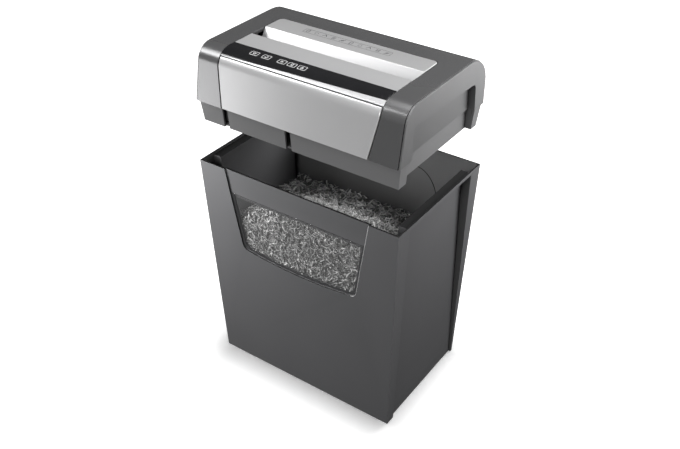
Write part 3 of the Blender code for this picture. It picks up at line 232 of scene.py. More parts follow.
class Shader:
    """A node material with a Principled shader, built up step by step."""

    def __init__(self, name, colour, roughness, metallic=0.0):
        self.material = bpy.data.materials.new(name)
        self.material.use_nodes = True
        self.nodes = self.material.node_tree.nodes
        self.links = self.material.node_tree.links
        self.shader = self.nodes["Principled BSDF"]
        self.colour = colour
        self.roughness = roughness
        self.set(Base_Color=(*colour, 1.0), Roughness=roughness, Metallic=metallic)
        self.place = self.nodes.new("ShaderNodeTexCoord").outputs["Object"]
        self.base = None
        self.normal = None

    def set(self, **values):
        for name, value in values.items():
            self.shader.inputs[name.replace("_", " ")].default_value = value
        return self

    def paint(self, base):
        """Takes a node's output as the base colour."""
        self.base = base
        self.links.new(base, self.shader.inputs["Base Color"])
        return self

    def noise(self, scale, detail=2.0, stretch=EVEN):
        mapping = self.nodes.new("ShaderNodeMapping")
        mapping.inputs["Scale"].default_value = stretch
        self.links.new(self.place, mapping.inputs["Vector"])
        texture = self.nodes.new("ShaderNodeTexNoise")
        texture.inputs["Scale"].default_value = scale
        texture.inputs["Detail"].default_value = detail
        self.links.new(mapping.outputs["Vector"], texture.inputs["Vector"])
        return texture.outputs["Fac"]

    def spread(self, value, source, target):
        """Maps a value from one range to another."""
        remap = self.nodes.new("ShaderNodeMapRange")
        for name, number in zip(("From Min", "From Max", "To Min", "To Max"), (*source, *target)):
            remap.inputs[name].default_value = number
        self.links.new(value, remap.inputs["Value"])
        return remap.outputs["Result"]

    def blend(self, factor, first, second):
        mix = self.nodes.new("ShaderNodeMix")
        mix.data_type = "RGBA"
        self.links.new(factor, mix.inputs["Factor"])
        for socket, colour in ((mix.inputs["A"], first), (mix.inputs["B"], second)):
            if isinstance(colour, tuple):
                socket.default_value = (*colour, 1.0)
            else:
                self.links.new(colour, socket)
        return mix.outputs["Result"]

    def vector_step(self, operation, first, second=None):
        """One vector operation, on a node's output and a constant."""
        step = self.nodes.new("ShaderNodeVectorMath")
        step.operation = operation
        self.links.new(first, step.inputs[0])
        if second is not None:
            step.inputs[1].default_value = second
        return step.outputs["Value" if operation == "LENGTH" else "Vector"]

    def mottled(self, scale, amount, stretch=EVEN):
        """Base colour that varies a little over the surface."""
        dark, light = (brightened(self.colour, factor) for factor in (1.0 - amount, 1.0 + amount))
        factor = self.spread(self.noise(scale, 3.0, stretch), NOISE_RANGE, FULL_RANGE)
        return self.paint(self.blend(factor, dark, light))

    def flaked(self, scale, amount):
        """Fine bright flakes over the colour, as in metallic paint."""
        flakes = self.spread(self.noise(scale, 1.0), FLAKE_RANGE, FULL_RANGE)
        return self.paint(self.blend(flakes, self.base, brightened(self.colour, 1.0 + amount)))

    def painted_edge_sheen(self, colour, amount):
        """Convex edges painted towards a paler colour: a painted highlight."""
        pointed = self.nodes.new("ShaderNodeNewGeometry").outputs["Pointiness"]
        edge = self.spread(pointed, EDGE_RANGE, (0.0, amount))
        return self.paint(self.blend(edge, self.base, colour))

    def uneven_gloss(self, scale, amount, stretch=EVEN):
        low, high = self.roughness * (1.0 - amount), min(self.roughness * (1.0 + amount), 1.0)
        value = self.spread(self.noise(scale, 4.0, stretch), NOISE_RANGE, (low, high))
        self.links.new(value, self.shader.inputs["Roughness"])
        return self

    def bump(self, scale, distance, strength=0.5, stretch=EVEN, detail=2.0):
        """Fine relief, in metres."""
        bump = self.nodes.new("ShaderNodeBump")
        bump.inputs["Distance"].default_value = distance
        bump.inputs["Strength"].default_value = strength
        self.links.new(self.noise(scale, detail, stretch), bump.inputs["Height"])
        self.links.new(bump.outputs["Normal"], self.shader.inputs["Normal"])
        return self


# For each look: material name, colour, roughness, metallic share, depth of grain, strength of flakes
MOULDINGS = {
    "charcoal": ("charcoal_paint", (0.142, 0.142, 0.144), 0.24, 0.6, 0.000004, 0.12),
    "bin": ("bin_grey", (0.060, 0.060, 0.062), 0.42, 0.15, 0.00001, 0.06),
    "cover": ("cover_grey", (0.151, 0.151, 0.153), 0.36, 0.5, 0.000004, 0.10),
    "skirt": ("skirt_grey", (0.155, 0.155, 0.157), 0.40, 0.2, 0.00001, 0.0),
    "silver": ("silver_paint", (0.47, 0.47, 0.475), 0.32, 0.5, 0.000003, 0.08),
    # Painted shade: a darker copy of the silver for the top trim's flat top
    "trim_top_painted_shade": ("trim_paint", (0.41, 0.41, 0.413), 0.36, 0.5, 0.000003, 0.08),
    # Painted shade: a darker copy of the silver for the deck's flat top
    "deck_top_painted_shade": ("deck_paint", (0.42, 0.42, 0.423), 0.36, 0.5, 0.000003, 0.08),
    # Near-black painted shade: the ledges inside the rim, the foot and left edge of the window panel, and
    # the moulding line inside the back wall
    "bin_inside": ("bin_inside", (0.009, 0.009, 0.0092), 0.8, 0.0, 0.00002, 0.0),
    # Painted light: a paler grey for the inside of the back wall
    "bin_back": ("bin_back", (0.080, 0.080, 0.081), 0.5, 0.0, 0.00001, 0.0),
    # Painted highlight for the rounded edges of the front panel, deck and trim
    "bright_edge": ("bright_edge", (0.80, 0.80, 0.80), 0.25, 0.3, 0.000002, 0.0),
    # Painted highlight: the pale line down the window panel's right side
    "bright_line": ("bright_line", (0.66, 0.66, 0.66), 0.35, 0.2, 0.000002, 0.0),
    "black_plastic": ("black_plastic", (0.02, 0.02, 0.02), 0.5, 0.0, 0.00002, 0.0),
    "nylon": ("nylon", (0.80, 0.78, 0.70), 0.45, 0.0, 0.00002, 0.0),
}

# For each slot: material name, colour, roughness, and how far the marks are drawn out along each axis
METALS = {
    "steel": ("steel", (0.42, 0.42, 0.43), 0.32, (1.0, 8.0, 8.0)),
    "zinc": ("zinc_plate", (0.56, 0.56, 0.54), 0.36, (4.0, 1.0, 1.0)),
    "bronze": ("bronze", (0.50, 0.34, 0.17), 0.4, (1.0, 4.0, 4.0)),
    "magnet": ("magnet", (0.45, 0.45, 0.46), 0.25, (1.0, 1.0, 4.0)),
}


def moulded(name, colour, roughness, metallic, grain, flakes):
    """Textured moulded plastic, with a fine spark-eroded grain."""
    shader = Shader(name, colour, roughness, metallic)
    shader.mottled(scale=9.0, amount=0.03)
    if flakes:
        shader.flaked(scale=2600.0, amount=flakes)
    # Painted highlight: convex edges paler
    shader.painted_edge_sheen(brightened(colour, 1.6), amount=0.5)
    shader.uneven_gloss(scale=6.0, amount=0.05)
    return shader.bump(scale=1900.0, distance=grain, strength=0.2)


def machined(name, colour, roughness, stretch):
    """Metal with fine marks along one direction."""
    shader = Shader(name, colour, roughness, metallic=0.9)
    shader.mottled(scale=60.0, amount=0.10, stretch=stretch)
    shader.uneven_gloss(scale=400.0, amount=0.35, stretch=stretch)
    return shader.bump(scale=900.0, distance=0.00002, stretch=stretch)


def printed(name, colour, unevenness):
    shader = Shader(name, colour, roughness=0.5).mottled(scale=400.0, amount=unevenness)
    return shader.bump(scale=2500.0, distance=0.00001, strength=0.3)


def window_shader():
    shader = Shader("clear_window", (0.10, 0.10, 0.10), roughness=0.06).mottled(scale=5.0, amount=0.05)
    shader.uneven_gloss(scale=20.0, amount=0.2).bump(scale=12.0, distance=0.0002, strength=0.08)
    return shader.set(Alpha=0.12, IOR=1.5)


def gloss_shader():
    shader = Shader("gloss_black", (0.012, 0.012, 0.013), roughness=0.13).mottled(scale=9.0, amount=0.1)
    shader.uneven_gloss(scale=45.0, amount=0.25).bump(scale=18.0, distance=0.0002, strength=0.05)
    return shader.set(Coat_Weight=0.6, Coat_Roughness=0.05)


def lens_shader():
    shader = Shader("smoked_lens", (0.022, 0.022, 0.023), roughness=0.16).mottled(scale=60.0, amount=0.1)
    return shader.bump(scale=30.0, distance=0.0001, strength=0.05)


def board_shader():
    shader = Shader("board_green", (0.03, 0.15, 0.06), roughness=0.35).mottled(scale=300.0, amount=0.15)
    return shader.bump(scale=700.0, distance=0.00003, strength=0.4)


def paper_shader():
    """Office paper in painted shade and painted light, which each strip's own shade value chooses between.
    """
    shader = Shader("paper_strips", (0.50, 0.50, 0.49), roughness=0.75)
    shade = shader.nodes.new("ShaderNodeAttribute")
    shade.attribute_name = "shade"
    grey = shader.blend(shade.outputs["Fac"], PAPER_DARK, PAPER_LIGHT)
    fibre = shader.spread(shader.noise(scale=900.0, detail=3.0), NOISE_RANGE, (0.0, 0.25))
    shader.paint(shader.blend(fibre, grey, PAPER_FIBRE))
    return shader.bump(scale=700.0, distance=0.00003, strength=0.4)


def make_materials():
    """A material for each slot, and for the looks that only this scene has."""
    shaders = {look: moulded(*values) for look, values in MOULDINGS.items()}
    shaders["bin_inside"].set(Specular_IOR_Level=0.05)
    shaders.update({slot: machined(*values) for slot, values in METALS.items()})
    shaders["ink"] = printed("pale_ink", (0.62, 0.62, 0.62), 0.05)
    shaders["dark_ink"] = printed("dark_ink", (0.025, 0.025, 0.027), 0.06)
    shaders["smoked_clear"] = window_shader()
    shaders["gloss_black"] = gloss_shader()
    shaders["lens"] = lens_shader()
    shaders["board"] = board_shader()
    shaders["paper"] = paper_shader()
    return {look: shader.material for look, shader in shaders.items()}


# ---------------------------------------------------------------- mesh helpers


def link(name, mesh, material, body):
    mesh.materials.clear()
    mesh.materials.append(material)
    obj = bpy.data.objects.new(name, mesh)
    bpy.context.scene.collection.objects.link(obj)
    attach(obj, body)
    return obj


def from_bmesh(name, bm, material, body):
    bmesh.ops.recalc_face_normals(bm, faces=bm.faces)
    mesh = bpy.data.meshes.new(name)
    bm.to_mesh(mesh)
    bm.free()
    return link(name, mesh, material, body)


def soften(obj, width):
    """Rounded edges and even shading."""
    obj.data.shade_smooth()
    if width:
        bevel = obj.modifiers.new("rounded_edges", "BEVEL")
        bevel.width = width
        bevel.segments = BEVEL_SEGMENTS
        bevel.limit_method = "ANGLE"
        bevel.angle_limit = BEVEL_ANGLE
        bevel.miter_outer = "MITER_ARC"
    even = obj.modifiers.new("even_shading", "WEIGHTED_NORMAL")
    even.keep_sharp = True
    return obj


def refine(node, materials, width):
    """A smoother piece in a CAD node's place: its flat faces whole again, and its edges rounded."""
    mesh = frame["nodes"][node].data.copy()
    bm = bmesh.new()
    bm.from_mesh(mesh)
    bmesh.ops.remove_doubles(bm, verts=bm.verts, dist=WELD)
    bmesh.ops.join_triangles(
        bm,
        faces=bm.faces,
        angle_face_threshold=FLAT_ANGLE,
        angle_shape_threshold=ANY_SHAPE,
    )
    bm.to_mesh(mesh)
    bm.free()
    slot = SLOT_OF[node]
    obj = link(f"{node}_shaped", mesh, materials[slot], BODY_OF[node])
    mesh.name = obj.name
    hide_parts(node)
    return soften(obj, width)


def bead(bm, points, radius, sides=8):
    """A round moulded line through points."""
    rings = []
    for i, point in enumerate(points):
        along = (Vector(points[min(i + 1, len(points) - 1)]) - Vector(points[max(i - 1, 0)])).normalized()
        across = along.cross(Vector((0.0, 1.0, 0.0))).normalized()
        up = along.cross(across)
        turns = [math.tau * k / sides for k in range(sides)]
        spokes = [across * math.cos(turn) + up * math.sin(turn) for turn in turns]
        rings.append([bm.verts.new(Vector(point) + spoke * radius) for spoke in spokes])
    for first, second in zip(rings, rings[1:]):
        for k in range(sides):
            after = (k + 1) % sides
            bm.faces.new((first[k], first[after], second[after], second[k]))
    bm.faces.new(rings[0])
    bm.faces.new(rings[-1])


def build_bead(name, points, radius, material):
    """A moulded line on the bin, as a piece of its own."""
    bm = bmesh.new()
    bead(bm, points, radius)
    line = from_bmesh(name, bm, material, "bin")
    line.data.shade_smooth()


# ---------------------------------------------------------------- pieces shaped from the frame


SMALL_EDGE = 0.00025
EDGE_WIDTHS = {
    "bin_body": 0.0007,
    "window_pane": 0.0003,
    "head_casing": 0.0007,
    "left_side_cover": 0.0007,
    "right_side_cover": 0.0007,
    "front_panel": 0.0006,
    "top_trim": 0.0005,
    "control_strip": 0.0003,
    "standby_key": 0.0003,
    "reverse_key": 0.0003,
    "ready_lens": 0.0003,
    "bin_full_lens": 0.0003,
    "jam_lens": 0.0003,
    "rear_deck": 0.0006,
    "skirt": 0.0008,
    "panel_carrier": 0.0004,
    "cord_gland": 0.0005,
    "motor": 0.0008,
    "front_cutter": 0.0,
    "rear_cutter": 0.0,
    "motor_pinion": 0.0002,
}


def build_frame_pieces(materials):
    pieces = {}
    for node in sorted(frame["nodes"]):
        if node != "paper_shreds":
            pieces[node] = refine(node, materials, EDGE_WIDTHS.get(node, SMALL_EDGE))
    # Painted shade on the flat tops of the deck and the trim
    repaint(pieces["rear_deck"], materials["deck_top_painted_shade"], is_deck_top)
    repaint(pieces["top_trim"], materials["trim_top_painted_shade"], is_trim_top)
    # Painted shade on the ledges inside the rim, under the raised head
    repaint(pieces["bin_body"], materials["bin_inside"], is_shaded_ledge)
    # Painted light on the inside of the back wall
    repaint(pieces["bin_body"], materials["bin_back"], is_lit_back_wall)
    draw_in(pieces["front_panel"], PANEL_GAP)
    lower_upper_edge(pieces["front_panel"], SEAM_TURN)
    # Painted highlights on the rounded edges
    for node in ("front_panel", "rear_deck", "top_trim"):
        paint_edge_highlights(pieces[node], materials["bright_edge"])


def repaint(piece, material, chosen):
    """Gives the faces that pass a test another paint."""
    piece.data.materials.append(material)
    index = len(piece.data.materials) - 1
    for face in piece.data.polygons:
        if chosen(face):
            face.material_index = index


def is_deck_top(face):
    """True for the deck's flat top, but not for the paper ramp in front of it; these faces take a darker
    copy of the silver, a painted shade.
    """
    return face.normal.z > DECK_LEVEL


def is_trim_top(face):
    """True for the top trim's flat top, but not for its lip; these faces take a darker copy of the silver, a
    painted shade.
    """
    return face.normal.z > TRIM_LEVEL


def is_shaded_ledge(face):
    """True for the rim's top and the tops of the hand recesses inside it, which take a near-black painted
    shade.
    """
    return face.normal.z > LEDGE_LEVEL and face.center.z > RIM - LEDGE_DEPTH


def is_lit_back_wall(face):
    """True for the inside of the bin's back wall, which is painted paler than its other walls: painted
    light, where light comes in under the raised head.
    """
    return face.normal.y < -BACK_LEVEL and face.center.y > BACK_START


def paint_edge_highlights(piece, material):
    """The piece's rounded edges take a pale material: a painted highlight."""
    piece.data.materials.append(material)
    piece.modifiers["rounded_edges"].material = len(piece.data.materials) - 1


def draw_in(piece, gap):
    """Moves a wide piece's two ends inwards, which opens the joint beside each."""
    for vert in piece.data.vertices:
        if abs(vert.co.x) > PANEL_END:
            vert.co.x -= math.copysign(gap, vert.co.x)


def lower_upper_edge(piece, turn):
    """Turns the front panel's upper edge forward over the nose, which opens the joint above it."""
    axis = Vector((0.0, NOSE_Y, HEAD_TOP - NOSE_RADIUS))

    def angle(vert):
        return math.atan2(vert.co.z - axis.z, axis.y - vert.co.y)

    edge = max(angle(vert) for vert in piece.data.vertices if vert.co.z > axis.z)
    turned = Matrix.Rotation(turn, 3, "X")
    for vert in piece.data.vertices:
        if vert.co.z > axis.z and angle(vert) > edge - turn:
            vert.co = axis + turned @ (vert.co - axis)


# ---------------------------------------------------------------- lines on the bin


def bin_face(z):
    """Y of the bin's leaning front at height z."""
    base, top = BIN_DEPTHS
    return -(base + (top - base) * z / RIM)


def panel_outline(inset, drop):
    """X and Z of the window panel's edge, from drop below the rim round its bowed foot."""
    lean = (PANEL_HALF_TOP - PANEL_HALF_BASE) / PANEL_HEIGHT
    z_corner = RIM - PANEL_HEIGHT + inset

    def edge(z):
        return PANEL_HALF_TOP - lean * (RIM - z) - inset

    def bow(x):
        return z_corner - PANEL_SAG * (1.0 - (x / edge(z_corner)) ** 2)

    z_top = RIM - drop
    z_start = z_corner + PANEL_CORNER
    heights = [z_top + (z_start - z_top) * i / SIDE_STEPS for i in range(SIDE_STEPS + 1)]
    right = [(edge(z), z) for z in heights]
    x_end = edge(z_corner) - PANEL_CORNER
    start, corner, end = Vector(right[-1]), Vector((edge(z_corner), z_corner)), Vector((x_end, bow(x_end)))
    for i in range(1, CORNER_STEPS + 1):
        t = i / CORNER_STEPS
        right.append(tuple(start.lerp(corner, t).lerp(corner.lerp(end, t), t)))
    right += [(x_end * k / FOOT_STEPS, bow(x_end * k / FOOT_STEPS)) for k in range(FOOT_STEPS - 1, 0, -1)]
    return right + [(0.0, bow(0.0))] + [(-x, z) for x, z in reversed(right)]


def plate_between(bm, outer, inner, front, back):
    """A thin plate between two matching outlines on the bin's front, at two depths behind its face."""
    rows = []
    for pair in zip(outer, inner):
        rows.append([bm.verts.new((x, bin_face(z) + depth, z)) for x, z in pair for depth in (front, back)])
    for first, second in zip(rows, rows[1:]):
        for p, q in ((0, 2), (2, 3), (3, 1), (1, 0)):
            bm.faces.new((first[p], first[q], second[q], second[p]))
    for row in (rows[0], rows[-1]):
        bm.faces.new((row[0], row[1], row[3], row[2]))


def build_window_surround(materials):
    """The pane's opaque border, and the lines round the pressed panel and above the pane; the line round the
    panel is a pale painted highlight down its right side and round its lower corner, and near-black painted
    shade along its foot and left side.
    """
    bm = bmesh.new()
    outer, inner = (panel_outline(inset, WINDOW_DROP) for inset in BORDER_INSETS)
    plate_between(bm, outer, inner, *BORDER_SINKS)
    border = from_bmesh("window_border", bm, materials["bin"], "bin")
    soften(border, BORDER_EDGE)

    radius = PANEL_LINE_RADIUS
    edge = panel_outline(PANEL_LINE_INSET, PANEL_LINE_DROP)
    outline = [(x, bin_face(z) + radius, z) for x, z in edge]
    right_count = SIDE_STEPS + 1 + CORNER_STEPS
    # Painted highlight down the panel's right side and round its lower corner
    build_bead("window_line_right", outline[:right_count], radius, materials["bright_line"])
    # Painted shade along the panel's foot and left side
    build_bead("window_line_left", outline[right_count:], radius * LEFT_LINE_SHARE, materials["bin_inside"])

    z = RIM - WINDOW_DROP
    top = [(x, bin_face(z) + TOP_LINE_SINK, z) for x in TOP_LINE_XS]
    build_bead("window_line_top", top, TOP_LINE_RADIUS, materials["bin"])


def back_line_outline():
    """X and drop below the rim along the moulding line: level, round its corner and down."""
    width, height = LINE_CORNER
    top, foot = LINE_DROPS
    turns = [math.radians(90.0 * i / LINE_CORNER_STEPS) for i in range(LINE_CORNER_STEPS + 1)]
    corner = [(LINE_SIDE - width * (1.0 - math.sin(a)), top + height * (1.0 - math.cos(a))) for a in turns]
    return [(LINE_START, top)] + corner + [(LINE_SIDE, foot)]


def build_back_line(materials):
    """The curved moulding line on the inside of the bin's back wall, painted near-black as the shade along
    its step.
    """
    points = [(x, -bin_face(RIM - drop) - BIN_WALL, RIM - drop) for x, drop in back_line_outline()]
    build_bead("back_line", points, LINE_RADIUS, materials["bin_inside"])


# ---------------------------------------------------------------- printed marks


def top_height(y):
    """Height of the head's upper surface at y, over the nose and the flat top."""
    ahead = min(y - NOSE_Y, 0.0)
    return HEAD_TOP - NOSE_RADIUS + math.sqrt(NOSE_RADIUS**2 - ahead**2)


def ribbon(bm, points, width, closed=False):
    """A thin line of print that follows the head's top through (x, y) points."""
    count = len(points)
    rows = []
    for i, point in enumerate(points):
        before = points[i - 1] if closed or i else point
        after = points[(i + 1) % count] if closed or i < count - 1 else point
        along = (Vector(after) - Vector(before)).normalized()
        side = Vector((-along.y, along.x)) * width / 2.0
        for k in (1, -1):
            x, y = Vector(point) + side * k
            z = top_height(y)
            rows.append((bm.verts.new((x, y, z + PRINT_LIFT)), bm.verts.new((x, y, z - PRINT_LIFT))))
    steps = count if closed else count - 1
    for i in range(steps):
        a, b = 2 * i, 2 * ((i + 1) % count)
        left, right = rows[a], rows[a + 1]
        next_left, next_right = rows[b], rows[b + 1]
        bm.faces.new((left[0], right[0], next_right[0], next_left[0]))
        bm.faces.new((left[1], next_left[1], next_right[1], right[1]))
        bm.faces.new((left[0], next_left[0], next_left[1], left[1]))
        bm.faces.new((right[0], right[1], next_right[1], next_right[0]))
    if not closed:
        for end in (0, 2 * (count - 1)):
            left, right = rows[end], rows[end + 1]
            bm.faces.new((left[0], left[1], right[1], right[0]))


def line(start, end):
    """Points from start to end, close enough together to follow the nose."""
    count = max(int(math.dist(start, end) / PRINT_STEP), 1)
    return [tuple(Vector(start).lerp(Vector(end), i / count)) for i in range(count + 1)]


def path(corners, closed=False):
    ends = list(corners) + ([corners[0]] if closed else [])
    points = [ends[0]]
    for start, end in zip(ends, ends[1:]):
        points += line(start, end)[1:]
    return points[:-1] if closed else points


def ring(centre, radius, start=0.0, turn=360.0, count=20):
    """Points round a circle, or round an arc of it with both its ends; start and turn are in degrees."""
    span = range(count) if turn == 360.0 else range(count + 1)
    angles = [math.radians(start + turn * i / count) for i in span]
    return [(centre[0] + radius * math.cos(a), centre[1] + radius * math.sin(a)) for a in angles]


def rounded_frame(centre, half_x, half_y, corner):
    points = []
    for sx, sy, start in ((1, 1, 0.0), (-1, 1, 90.0), (-1, -1, 180.0), (1, -1, 270.0)):
        middle = (centre[0] + sx * (half_x - corner), centre[1] + sy * (half_y - corner))
        points += ring(middle, corner, start, 90.0, 4)
    return path(points, closed=True)


def sized(centre, size, *points):
    """Points given in shares of a sign's size, placed round its centre."""
    return [(centre[0] + size * x, centre[1] + size * y) for x, y in points]


def standby_sign(bm, centre, size):
    ribbon(bm, ring(centre, size * 0.55, 125.0, 290.0, 20), size * 0.22)
    ribbon(bm, line(*sized(centre, size, (0.0, 0.05), (0.0, 0.72))), size * 0.22)


def reverse_sign(bm, centre, size):
    ribbon(bm, ring(centre, size * 0.52, -150.0, 250.0, 18), size * 0.22)
    (tip,) = sized(centre, size, (-0.45, -0.62))
    ribbon(bm, path(sized(tip, size, (-0.30, 0.52), (0.0, 0.0), (0.42, 0.30))), size * 0.2)


def ready_sign(bm, centre, size):
    ribbon(bm, path(sized(centre, size, (-0.4, -0.5), (-0.4, 0.5), (0.5, 0.0)), closed=True), size * 0.22)


def bin_full_sign(bm, centre, size):
    ribbon(bm, path(sized(centre, size, (-0.45, 0.4), (-0.3, -0.55), (0.3, -0.55), (0.45, 0.4))), size * 0.2)
    ribbon(bm, line(*sized(centre, size, (-0.6, 0.55), (0.6, 0.55))), size * 0.2)


def jam_sign(bm, centre, size):
    ribbon(bm, path(sized(centre, size, (-0.6, -0.5), (0.6, -0.5), (0.0, 0.6)), closed=True), size * 0.2)
    ribbon(bm, line(*sized(centre, size, (0.0, -0.2), (0.0, 0.2))), size * 0.18)


KEY_SIGNS = {
    "standby_key": standby_sign,
    "reverse_key": reverse_sign,
    "ready_lens": ready_sign,
    "bin_full_lens": bin_full_sign,
    "jam_lens": jam_sign,
}


def build_key_print(materials):
    """A pale outline with a sign inside it on each key and lens."""
    for node, draw in KEY_SIGNS.items():
        low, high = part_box(node)
        centre = ((low.x + high.x) / 2.0, (low.y + high.y) / 2.0)
        half = (high.y - low.y) / 2.0
        bm = bmesh.new()
        half_x, half_y = (half * share for share in KEY_FRAME_HALF)
        outline = rounded_frame(centre, half_x, half_y, half * KEY_FRAME_CORNER)
        ribbon(bm, outline, half * KEY_FRAME_LINE, closed=True)
        draw(bm, centre, half * KEY_SIGN_SHARE)
        from_bmesh(f"{node}_sign", bm, materials["ink"], BODY_OF[node])


def sheet_mark(bm, centre, size):
    corners = sized(centre, size, (-0.6, -1.0), (0.6, -1.0), (0.6, 1.0), (-0.6, 1.0))
    ribbon(bm, path(corners, closed=True), BOLD_LINE)


def ring_mark(bm, centre, size):
    ribbon(bm, ring(centre, size * 0.8), FINE_LINE, closed=True)


def peak_mark(bm, centre, size):
    ribbon(bm, path(sized(centre, size, (-1.0, -0.6), (0.0, 1.0), (1.0, -0.6))), HEAVY_LINE)


def bars_mark(bm, centre, size):
    for x in (-0.6, 0.0, 0.6):
        ribbon(bm, line(*sized(centre, size, (x, -1.0), (x, 1.0))), BOLD_LINE)


def struck_ring_mark(bm, centre, size):
    ribbon(bm, line(*sized(centre, size, (-1.0, -1.0), (1.0, 1.0))), HEAVY_LINE)
    ribbon(bm, ring(centre, size * 0.5), THIN_LINE, closed=True)


DECK_MARKS = (sheet_mark, ring_mark, peak_mark, bars_mark, struck_ring_mark)


def build_deck_print(materials):
    """A row of small generic signs in a thin frame on the rear deck."""
    low, high = DECK_BOX
    y = low.y + (high.y - low.y) * DECK_ROW_SHARE
    half_x, half_y = DECK_ROW_HALF
    bm = bmesh.new()
    ribbon(bm, rounded_frame((DECK_ROW_X, y), half_x, half_y, DECK_ROW_CORNER), FINE_LINE, closed=True)
    first_x = DECK_ROW_X - half_x + DECK_ROW_MARGIN
    reach = 2.0 * half_x - 2.0 * DECK_ROW_MARGIN
    for i in range(DECK_SIGN_COUNT):
        centre = (first_x + i * reach / (DECK_SIGN_COUNT - 1), y)
        draw = DECK_MARKS[i % len(DECK_MARKS)]
        draw(bm, centre, DECK_SIGN_SIZE)
    from_bmesh("deck_signs", bm, materials["dark_ink"], "head")


# ---------------------------------------------------------------- cut paper


def heap_surface():
    """The CAD heap's upper surface as a function of x and y, read by casting down on it."""
    bm = bmesh.new()
    bm.from_mesh(frame["nodes"]["paper_shreds"].data)
    tree = BVHTree.FromBMesh(bm)
    bm.free()

    def height(x, y):
        hit = tree.ray_cast(Vector((x, y, RIM)), Vector((0.0, 0.0, -1.0)))
        return hit[0].z if hit[0] else None

    return height


def clamped(value):
    return min(max(value, 0.0), 1.0)


def shade_faces(faces, layer, shade):
    for face in faces:
        for loop in face.loops:
            loop[layer] = (shade, shade, shade, 1.0)


def strip(bm, layer, place, turn, length, width, curl, shade):
    """One curled strip of paper, as a thin closed solid."""
    rows = []
    for i in range(STRIP_SEGMENTS + 1):
        along = length * (i / STRIP_SEGMENTS - 0.5)
        angle = curl * (i / STRIP_SEGMENTS - 0.5)
        rise = math.sin(math.pi * i / STRIP_SEGMENTS) * length * STRIP_ARCH * curl
        twist = Matrix.Rotation(angle * STRIP_TWIST, 3, "X")
        for side in (-1, 1):
            for level in (0.0, STRIP_THICKNESS):
                offset = twist @ Vector((0.0, side * width / 2.0, level))
                point = Vector((along * (1.0 - STRIP_SHORTENING * abs(curl)), 0.0, rise)) + offset
                point = place + turn @ point
                point.z = min(point.z, PAPER_TOP)
                rows.append(bm.verts.new(point))
    faces = []
    for i in range(STRIP_SEGMENTS):
        a, b = 4 * i, 4 * (i + 1)
        for p, q in ((0, 1), (1, 3), (3, 2), (2, 0)):
            faces.append(bm.faces.new((rows[a + p], rows[a + q], rows[b + q], rows[b + p])))
    last = 4 * STRIP_SEGMENTS
    faces.append(bm.faces.new((rows[0], rows[2], rows[3], rows[1])))
    faces.append(bm.faces.new((rows[last], rows[last + 1], rows[last + 3], rows[last + 2])))
    shade_faces(faces, layer, shade)


def lay_top_strips(bm, layer, rng, height):
    """Loose strips in a thin layer over the heap's top, paler the higher they lie: painted shade on the
    deeper ones.
    """
    low, high = HEAP_BOX
    darkest, gain, scatter = TOP_SHADE
    for _ in range(STRIP_COUNT):
        x = rng.uniform(low.x + TOP_MARGIN, high.x - TOP_MARGIN)
        y = rng.uniform(low.y + TOP_MARGIN, high.y - TOP_MARGIN)
        z = height(x, y)
        level = rng.random()
        yaw = Matrix.Rotation(rng.uniform(0.0, math.tau), 3, "Z")
        pitch = Matrix.Rotation(rng.gauss(0.0, TOP_TILTS[0]), 3, "Y")
        roll = Matrix.Rotation(rng.gauss(0.0, TOP_TILTS[1]), 3, "X")
        place = Vector((x, y, min(z + TOP_LIFT + level * TOP_LAYER, TOP_LIMIT)))
        shade = clamped(darkest + gain * level + rng.gauss(0.0, scatter))
        length = rng.uniform(*TOP_LENGTHS)
        width = rng.uniform(*TOP_WIDTHS)
        curl = rng.uniform(-TOP_CURL, TOP_CURL)
        strip(bm, layer, place, yaw @ (pitch @ roll), length, width, curl, shade)


def lay_window_strips(bm, layer, rng, height):
    """Strips that lie flat against the window, as high as the heap reaches; those nearer the pane are paler,
    painted light, and those further back darker, painted shade.
    """
    front = HEAP_BOX[0].y
    nearest, layer_depth = WINDOW_LAYER
    darkest, gain, scatter = WINDOW_SHADE
    for _ in range(int(STRIP_COUNT * WINDOW_SHARE)):
        x = rng.uniform(-WINDOW_HALF, WINDOW_HALF)
        z = rng.uniform(*WINDOW_HEIGHTS)
        if z > height(x, front + WINDOW_INSIDE) - WINDOW_BELOW_TOP:
            continue
        yaw = Matrix.Rotation(rng.gauss(0.0, WINDOW_YAW), 3, "Z")
        upright = Matrix.Rotation(math.pi / 2.0 + rng.gauss(0.0, WINDOW_LEAN), 3, "X")
        spin = Matrix.Rotation(rng.uniform(0.0, math.tau), 3, "Z")
        ahead = rng.random()
        place = Vector((x, front - nearest - ahead * layer_depth, z))
        shade = clamped(gain * ahead**2 + rng.gauss(darkest, scatter))
        length = rng.uniform(*WINDOW_LENGTHS)
        width = rng.uniform(*WINDOW_WIDTHS)
        curl = rng.uniform(-WINDOW_CURL, WINDOW_CURL)
        strip(bm, layer, place, yaw @ upright @ spin, length, width, curl, shade)


def build_shreds(materials):
    """Loose strips over the heap's top and against the window, above a settled core painted dark as the
    shade deep in the heap.
    """
    rng = random.Random(STRIP_SEED)
    height = heap_surface()
    bm = bmesh.new()
    layer = bm.loops.layers.float_color.new("shade")
    lay_top_strips(bm, layer, rng, height)
    lay_window_strips(bm, layer, rng, height)
    shreds = from_bmesh("cut_paper", bm, materials["paper"], "bin")
    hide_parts("paper_shreds")
    shreds.data.shade_smooth()

    bm = bmesh.new()
    bm.from_mesh(frame["nodes"]["paper_shreds"].data)
    bmesh.ops.remove_doubles(bm, verts=bm.verts, dist=WELD)
    for vert in bm.verts:
        vert.co.z = max(vert.co.z - CORE_SINK, HEAP_BOX[0].z + CORE_FLOOR)
    shade_faces(bm.faces, bm.loops.layers.float_color.new("shade"), CORE_SHADE)
    core = from_bmesh("cut_paper_core", bm, materials["paper"], "bin")
    core.data.shade_smooth()


